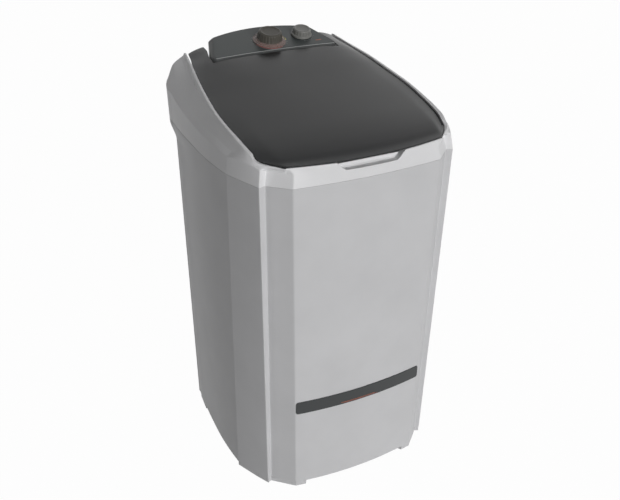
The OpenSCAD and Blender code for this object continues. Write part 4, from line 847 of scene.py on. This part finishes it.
def lid_mesh():
    """Top and underside of the lid as one closed skin"""
    half_u, top, depth, first, ears = build_lid()
    n = len(half_u)
    keys, points, depths = {}, [], []

    def put(key, point, deep):
        keys[key] = len(points)
        points.append(point)
        depths.append(deep)

    for j, row in enumerate(top):
        for i in range(-(n - 1), n):
            put((j, i), row[abs(i)] * (1 if i >= 0 else -1, 1, 1), depth[j][abs(i)])
    for e, (row, deep) in enumerate(ears):
        for c in range(first, n):
            for side in (-1, 1):
                put((len(top) + e, side * c), row[c - first] * (side, 1, 1), deep[c - first])
    quads = []
    for j in range(len(top) + len(ears) - 1):
        for i in range(-(n - 1), n - 1):
            quad = [(j, i), (j, i + 1), (j + 1, i + 1), (j + 1, i)]
            if all(q in keys for q in quad):
                quads.append(tuple(keys[q] for q in quad))
    count = len(points)
    points = np.array(points)
    under = points.copy()
    under[:, 2] -= depths
    used = {(a, b): True for quad in quads for a, b in zip(quad, quad[1:] + quad[:1])}
    walls = [(b, a, a + count, b + count) for a, b in used if (b, a) not in used]
    faces = quads + [tuple(i + count for i in reversed(q)) for q in quads] + walls
    return np.vstack([points, under]), faces


make("lid_cover", *lid_mesh(), FINISHES["lid_smoke"], "lid_smoke", body="lid", hides=("lid",), bevel=0.9)

BARREL_R = 6
PIN_R = 3.05
EAR_SPAN = (166.5, 199.5)
BARREL_SIDES = 32
WEB_HALF = 3.5
WEB_IN = 1
WEB_OVER = 0.5
WEB_SUNK = 1.5


def build_lid_barrels():
    """Hinge barrels under the lid's ears, each with a web up to the lid"""
    parts = []
    angle = np.linspace(0, 2 * math.pi, BARREL_SIDES, endpoint=False)
    near, far = EAR_SPAN
    top = lid_on(far - WEB_IN, HINGE_Y)[0][2] - LID_T + WEB_OVER
    for side in (-1, 1):
        rings = []
        for r, x in ((PIN_R, near), (BARREL_R, near), (BARREL_R, far), (PIN_R, far)):
            y = HINGE_Y + r * np.cos(angle)
            z = HINGE_Z + r * np.sin(angle)
            rings.append(np.column_stack([np.full(BARREL_SIDES, side * x), y, z]))
        parts.append((np.vstack(rings), grid_faces(len(rings), BARREL_SIDES, True, True)))
        low, high = sorted((side * (near + WEB_IN), side * (far - WEB_IN)))
        parts.append(box_points((low, HINGE_Y - WEB_HALF, HINGE_Z + BARREL_R - WEB_SUNK),
                                (high, HINGE_Y + WEB_HALF, top)))
    points, faces = joined(parts)
    make("lid_hinge_barrels", points, faces, FINISHES["lid_smoke"], "lid_smoke", body="lid", bevel=0.5)


build_lid_barrels()

# Control console

SIDE_FLARE = 11
SIDE_DROP = 9
CONSOLE_BOW = 6
# Share of the panel's half width that its straight front edge takes up, before the corner
FRONT_SHARE = 6 / 6.3
CONSOLE_CORNERS = (12, 13, 14, 15, 16, 28, 29, 30, 31, 0)
CONSOLE_CORNER_R = 7
CONSOLE_SOFT = 0.8
BASE_BACK = 8
TURN_START = 3
# Shares of the flare and of the drop where the sides turn over, then cuts and drops of the panel's edge
TURN_OVER = ((1, 1), (0.8, 0.72), (0.12, 0.16))
PANEL_EDGE = ((0.3, 0.5), (1.4, 0.0))
FASCIA_CUT = (-5, 6)
FASCIA_Z = (0.05, 0.8)
PLATE_EDGE = 0.4
PLATE_SOFT = 0.25
TRIM_SHARE = 12 / 12.4
TRIM_Y = (1.5, 3.6)
TRIM_Z = (0.3, 1.1)
TRIM_STEPS = 49


def console_outline(grow, cut, flare=0.0):
    """Plan outline of the console: grown sideways, cut back at the front and rear, flared towards the rear"""
    front_half, rear_half = CONSOLE_W / 2 + grow, CONSOLE_REAR_W / 2 + grow + flare
    shares = [i / BOW_STEPS for i in range(-BOW_STEPS, BOW_STEPS + 1)]
    front_y, rear_y = CONSOLE_FRONT_Y + cut, CONSOLE_REAR_Y - cut
    rear_bow = REAR_Y - CONSOLE_REAR_Y
    front = [(front_half * s * FRONT_SHARE, front_y + CONSOLE_BOW * (1 - s ** 2)) for s in shares]
    rear = [(-rear_half * s, rear_y + rear_bow * (1 - s ** 2)) for s in shares]
    right = [(front_half + flare * 0.2, CONSOLE_FRONT_Y + 7),
             (front_half - 2 + flare * 0.3, CONSOLE_FRONT_Y + 20), (rear_half + 3, CONSOLE_REAR_Y - 8)]
    left = [(-x, y) for x, y in reversed(right)]
    pts = [(x, y, 0.0) for x, y in front + right + rear + left]
    soft = [CONSOLE_CORNER_R if i in CONSOLE_CORNERS else CONSOLE_SOFT for i in range(len(pts))]
    return rounded_outline(pts, soft, 3)


def on_panel(outline, drop):
    """The outline laid on the panel's plane, or below it by a drop"""
    return np.column_stack([outline[:, 0], outline[:, 1], panel_z(outline[:, 1]) - drop])


def build_console():
    """Housing with flared sides that turn over into the panel's edge"""
    flared = console_outline(0, 0, SIDE_FLARE)
    base = flared.copy()
    base[:, 1] = np.minimum(base[:, 1], CONSOLE_REAR_Y + BASE_BACK)
    rings = [at_z(base, PLATFORM_Z), on_panel(flared, SIDE_DROP + TURN_START)]
    for flare, drop in TURN_OVER:
        rings.append(on_panel(console_outline(0, 0, SIDE_FLARE * flare), SIDE_DROP * drop))
    rings += [on_panel(console_outline(-cut, cut), drop) for cut, drop in PANEL_EDGE]
    stack("console_housing", rings, FINISHES["console_dark"], "console_dark", hides=("control_console",))


def panel_plate(outline, low, high):
    """Rings of a plate on the control panel with a softened upper edge"""
    centre = outline.mean(axis=0)
    step = (outline - centre) / np.linalg.norm(outline - centre, axis=1)[:, None]
    shrunk = outline - step * PLATE_EDGE
    return [on_panel(outline, -low), on_panel(outline, PLATE_SOFT - high), on_panel(shrunk, -high)]


build_console()
stack("console_fascia_plate", panel_plate(console_outline(*FASCIA_CUT), *FASCIA_Z), FINISHES["fascia"],
      "fascia", hides=("console_fascia",))


def build_trim():
    """Pale line along the panel's front edge"""
    s = np.linspace(-1, 1, TRIM_STEPS)
    x = CONSOLE_W / 2 * TRIM_SHARE * s
    y = CONSOLE_FRONT_Y + CONSOLE_BOW * (1 - s ** 2)
    front, back = [np.column_stack([x, y + out, np.zeros(TRIM_STEPS)]) for out in TRIM_Y]
    outline = np.vstack([front, back[::-1]])
    stack("console_trim_line", [on_panel(outline, -z) for z in TRIM_Z], FINISHES["trim_pale"], "trim_pale",
          hides=("console_trim",), bevel=0.25)


build_trim()

# Knobs

SKIRT_R = KNOB_D / 2
CAP_R = KNOB_D * 0.375
DIAL_LOW = 0.9
DIAL_HIGH = 1.5
PRINT_LOW = 0.7
PRINT_HIGH = 0.95
ARC_STEP = 3
BAR_PLACE = (132, 209)
BAR_HALF = (8, 1.2)


def print_arc(name, radii, turn, place, material, low=PRINT_LOW, high=PRINT_HIGH):
    """A flat printed arc on the control panel, between two angles in degrees from the right"""
    steps = max(2, int(abs(turn[1] - turn[0]) / ARC_STEP))
    points = []
    for a in np.radians(np.linspace(turn[0], turn[1], steps)):
        for r, z in ((radii[0], low), (radii[1], low), (radii[1], high), (radii[0], high)):
            points.append((r * math.cos(a), r * math.sin(a), z))
    faces = grid_faces(steps, 4, False, True)
    faces += [(0, 1, 2, 3), tuple(range(4 * steps - 4, 4 * steps))]
    make(name, panel_points(points, *place), faces, material, "dial_print", bevel=0.1)


def build_timer():
    """See-through skirt, ribbed grip, and the printed dial under the skirt with its two arcs"""
    skirt = [(16, 4.0), (16, 2.2), (SKIRT_R - 1.2, 2.0), (SKIRT_R, 2.5), (SKIRT_R, 3.6), (SKIRT_R - 0.6, 4.4),
             (SKIRT_R - 1.6, 4.4), (SKIRT_R - 2.4, 4.0), (CAP_R + 4, 6.6), (CAP_R + 1.0, 8.8),
             (CAP_R - 3, 9.0), (CAP_R - 3, 7.0)]
    lathe("timer_knob_skirt", skirt, TIMER_PLACE, FINISHES["knob_core"], "knob_core", body="timer_dial_knob",
          hides=("timer_knob",))
    top = KNOB_H - 1
    cap = [(0, top - 2.4), (CAP_R * 0.5, top - 2.3), (CAP_R - 12, top - 2.0), (CAP_R - 9.5, top - 0.9),
           (CAP_R - 7.6, top), (CAP_R - 5.4, top - 0.5), (CAP_R - 3.4, top - 2.2), (CAP_R - 2.0, top - 4.8),
           (CAP_R - 0.8, 19), (CAP_R + 0.2, 14), (CAP_R + 0.8, 9.6), (CAP_R - 2.4, 9.3),
           (CAP_R - 4.0, KNOB_H - 10), (0, KNOB_H - 7)]
    lathe("timer_knob_grip", cap, TIMER_PLACE, FINISHES["knob_grey"], "knob_grey", flutes=24, depth=1.5,
          fluted=(7, 8, 9), body="timer_dial_knob", hides=("timer_knob_cap",))
    ring = [(CAP_R, DIAL_LOW), (SKIRT_R, DIAL_LOW), (SKIRT_R, DIAL_HIGH), (CAP_R, DIAL_HIGH)]
    lathe("timer_dial_ring", ring, TIMER_PLACE, FINISHES["dial_print"], "dial_print", hides=("timer_dial",))
    print_arc("timer_dial_arc_red", (CAP_R - 6, SKIRT_R - 0.3), (-165, -60), TIMER_PLACE, DIAL_RED,
              DIAL_HIGH - 0.1, DIAL_HIGH + 0.2)
    print_arc("timer_dial_arc_yellow", (SKIRT_R + 0.4, SKIRT_R + 3.0), (-8, 48), TIMER_PLACE, DIAL_YELLOW)


def build_selector():
    """Ribbed grip with its wide foot"""
    r = SELECTOR_D / 2
    h = SELECTOR_H + 2
    profile = [(0, h - 2.6), (r - 9, h - 2.3), (r - 6.4, h - 1.1), (r - 4.6, h - 0.4), (r - 2.8, h - 1.0),
               (r - 1.4, h - 2.8), (r - 0.6, h - 5), (r, 12), (r + 0.3, 8.6), (r + 2.6, 7.2), (r + 3.4, 5.6),
               (r + 3.5, 3.0), (r + 2.8, 2.2), (7, 2.1), (7, 5.0), (0, 5.0)]
    lathe("selector_knob_grip", profile, SELECTOR_PLACE, SELECTOR_GREY, "knob_grey", flutes=18, depth=1.2,
          fluted=(6, 7, 8), body="selector", hides=("selector_knob",))


def build_panel_print():
    """Generic marks on the panel: ticks round both knobs, a ring line at each and a small orange bar"""
    for k, angle in enumerate((-215, -195, -175, -35, -20, 60, 80, 150, 130)):
        print_arc(f"timer_tick_{k}", (SKIRT_R + 2.2, SKIRT_R + 4.8), (angle, angle + 1.6), TIMER_PLACE,
                  PRINT_PALE)
    print_arc("timer_ring_line", (SKIRT_R + 1.0, SKIRT_R + 1.5), (-230, -12), TIMER_PLACE, PRINT_PALE)
    r = SELECTOR_D / 2
    print_arc("selector_ring_line", (r + 5.0, r + 5.7), (-120, 60), SELECTOR_PLACE, PRINT_PALE)
    for k, angle in enumerate((-100, -60, -20, 20)):
        print_arc(f"selector_tick_{k}", (r + 7, r + 9), (angle, angle + 3), SELECTOR_PLACE, PRINT_PALE)
    w, d = BAR_HALF
    bar, faces = box_points((-w, -d, PRINT_LOW), (w, d, PRINT_HIGH))
    make("panel_mark_orange", panel_points(bar, *BAR_PLACE), faces, PRINT_ORANGE, "dial_print", bevel=0.1)


build_panel_print()
build_timer()
build_selector()

# Label strip

LABEL_W = 356
LABEL_H = 36
LABEL_Z = 244
LABEL_T = 2.5
LABEL_END_R = 7
LABEL_MIDDLE = LABEL_Z + LABEL_H / 2
LABEL_STEP = 8
LABEL_SUNK = 0.5
LABEL_EDGE = (0.5, 0.6)
LINE_STEPS = 33
LINE_IN = 0.3
LINE_OUT = 0.12


def front_surface_y(x, z):
    """Depth of the cabinet's bowed front panel at x and z"""
    t = z / CABINET_H
    half = FRONT_HALF - FRONT_TAPER * (1 - t)
    depth = FRONT_BOW + BOW_MORE * (1 - t)
    return PANEL_Y + FRONT_LEAN * (1 - t) - depth * (1 - (x / half) ** 2)


def label_outline(shrink):
    """Front outline of the strip in x and z, rounded at its four corners"""
    w, h = LABEL_W / 2 - shrink, LABEL_H / 2 - shrink
    corners = [(w, 0, -h), (w, 0, h), (-w, 0, h), (-w, 0, -h)]
    soft = rounded_outline(corners, [LABEL_END_R] * len(corners), 6)
    dense = []
    for a, b in zip(soft, np.roll(soft, -1, axis=0)):
        steps = max(1, int(np.linalg.norm(b - a) / LABEL_STEP))
        dense += [mix(a, b, k / steps) for k in range(steps)]
    return np.array(dense)


def label_ring(shrink, out):
    """The strip's outline on the front panel, or in front of it"""
    flat = label_outline(shrink)
    return np.column_stack([flat[:, 0], front_surface_y(flat[:, 0], flat[:, 2] + LABEL_MIDDLE) - out,
                            flat[:, 2] + LABEL_MIDDLE])


def build_label():
    """Dark plate with a softened edge, which stands out a little from the front panel"""
    shrink, drop = LABEL_EDGE
    rings = [label_ring(0, LABEL_SUNK), label_ring(0, LABEL_T - drop), label_ring(shrink, LABEL_T)]
    n = len(rings[0])
    faces = grid_faces(len(rings), n, False, True)
    # The face is a row of strips across the outline, so that it keeps the panel's bow
    for k in (0, 2):
        ring = rings[k]
        by_x = sorted(range(n), key=lambda i: ring[i, 0])
        low = [i for i in by_x if ring[i, 2] < LABEL_MIDDLE]
        high = [i for i in by_x if ring[i, 2] >= LABEL_MIDDLE]
        for a in range(min(len(low), len(high)) - 1):
            quad = (low[a], low[a + 1], high[a + 1], high[a])
            faces.append(tuple(k * n + i for i in quad))
    make("label_plate", np.vstack(rings), faces, FINISHES["label_dark"], "label_dark",
         hides=("front_label_strip",))


build_label()


def label_line(name, x_span, z_span, material):
    """A fine printed line on the label strip, which follows the panel's bow"""
    n = LINE_STEPS
    low, high = z_span
    x = np.linspace(x_span[0], x_span[1], n)
    rings = []
    for z, out in ((low, LINE_IN), (low, -LINE_OUT), (high, -LINE_OUT), (high, LINE_IN)):
        rings.append(np.column_stack([x, front_surface_y(x, z) - LABEL_T + out, np.full(n, z)]))
    faces = grid_faces(4, n, True, False)
    faces += [(0, n, 2 * n, 3 * n), (n - 1, 4 * n - 1, 3 * n - 1, 2 * n - 1)]
    make(name, np.vstack(rings), faces, material, "label_dark", bevel=0.05)


label_line("label_line_orange", (-58, 40), (LABEL_Z + 5.0, LABEL_Z + 6.2), PRINT_ORANGE)
label_line("label_line_red", (-50, 48), (LABEL_Z + 2.8, LABEL_Z + 3.6), PRINT_RED)

# Studio

HORIZON = 0.25
ZENITH = 0.0
KEY_STRENGTH = 2.1
FILL_STRENGTH = 0.9
LAMP_SIZE = math.radians(30)
KEY_TURN = (math.radians(77), 0, math.radians(5))
FILL_TURN = (math.radians(72), 0, math.radians(162))
FLOOR_SIZE = 12.0
FLOOR_WHITE = 0.98
FLOOR_GREY = 0.5
FLOOR_ROUGH = 0.9
FLOOR_SHEEN = 0.1


def build_camera():
    """The camera that was solved from the photo"""
    data = bpy.data.cameras.new("camera")
    data.sensor_fit = "HORIZONTAL"
    data.sensor_width = SENSOR_WIDTH
    data.lens = CAMERA_LENS
    camera = bpy.data.objects.new("camera", data)
    camera.location = CAMERA_PLACE
    camera.rotation_euler = [math.radians(a) for a in CAMERA_TURN]
    scene.collection.objects.link(camera)
    scene.camera = camera


def clear_rays(tree, path):
    """1 for rays from the camera, and for those that metal and glass send on"""
    seen = node(tree, "ShaderNodeMath", operation="MAXIMUM")
    clear = node(tree, "ShaderNodeMath", operation="MAXIMUM")
    tree.links.new(path.outputs["Is Camera Ray"], seen.inputs[0])
    tree.links.new(path.outputs["Is Glossy Ray"], seen.inputs[1])
    tree.links.new(seen.outputs[0], clear.inputs[0])
    tree.links.new(path.outputs["Is Transmission Ray"], clear.inputs[1])
    return clear.outputs[0]


def build_world():
    """A studio that is paler near the floor than overhead, white where the camera, metal or glass sees it"""
    world = bpy.data.worlds.new("studio")
    scene.world = world
    world.use_nodes = True
    tree = world.node_tree
    back = tree.nodes["Background"]
    back.inputs["Color"].default_value = (1, 1, 1, 1)
    place = node(tree, "ShaderNodeTexCoord")
    parts = node(tree, "ShaderNodeSeparateXYZ")
    fall = node(tree, "ShaderNodeMapRange", To_Min=HORIZON, To_Max=ZENITH)
    path = node(tree, "ShaderNodeLightPath")
    level_of = node(tree, "ShaderNodeMapRange", To_Max=1.0)
    tree.links.new(place.outputs["Generated"], parts.inputs[0])
    tree.links.new(parts.outputs["Z"], fall.inputs["Value"])
    tree.links.new(fall.outputs["Result"], level_of.inputs["To Min"])
    tree.links.new(clear_rays(tree, path), level_of.inputs["Value"])
    tree.links.new(level_of.outputs["Result"], back.inputs["Strength"])


def build_lamp(name, strength, turn, glare):
    """A large soft lamp far away, with or without its own highlight on glossy parts"""
    data = bpy.data.lights.new(name, "SUN")
    data.energy = strength
    data.angle = LAMP_SIZE
    lamp = bpy.data.objects.new(name, data)
    lamp.rotation_euler = turn
    lamp.visible_glossy = glare
    scene.collection.objects.link(lamp)


def build_floor():
    """A grey floor that lights the body softly, and shows white itself"""
    mesh = bpy.data.meshes.new("floor")
    s = FLOOR_SIZE
    mesh.from_pydata([(-s, -s, 0), (s, -s, 0), (s, s, 0), (-s, s, 0)], [], [(0, 1, 2, 3)])
    mat = bpy.data.materials.new("floor")
    mat.use_nodes = True
    tree = mat.node_tree
    shader = tree.nodes["Principled BSDF"]
    shader.inputs["Base Color"].default_value = (FLOOR_GREY, FLOOR_GREY, FLOOR_GREY, 1)
    shader.inputs["Roughness"].default_value = FLOOR_ROUGH
    shader.inputs["Specular IOR Level"].default_value = FLOOR_SHEEN
    glow = node(tree, "ShaderNodeEmission", Strength=1.0)
    path = node(tree, "ShaderNodeLightPath")
    share = node(tree, "ShaderNodeMath", operation="MULTIPLY")
    share.inputs[1].default_value = FLOOR_WHITE
    blend = node(tree, "ShaderNodeMixShader")
    tree.links.new(clear_rays(tree, path), share.inputs[0])
    tree.links.new(share.outputs[0], blend.inputs[0])
    tree.links.new(shader.outputs[0], blend.inputs[1])
    tree.links.new(glow.outputs[0], blend.inputs[2])
    tree.links.new(blend.outputs[0], tree.nodes["Material Output"].inputs["Surface"])
    mesh.materials.append(mat)
    floor = bpy.data.objects.new("floor", mesh)
    scene.collection.objects.link(floor)


build_camera()
build_world()
build_lamp("key", KEY_STRENGTH, KEY_TURN, True)
build_lamp("fill", FILL_STRENGTH, FILL_TURN, False)
build_floor()
scene.view_settings.view_transform = "Standard"
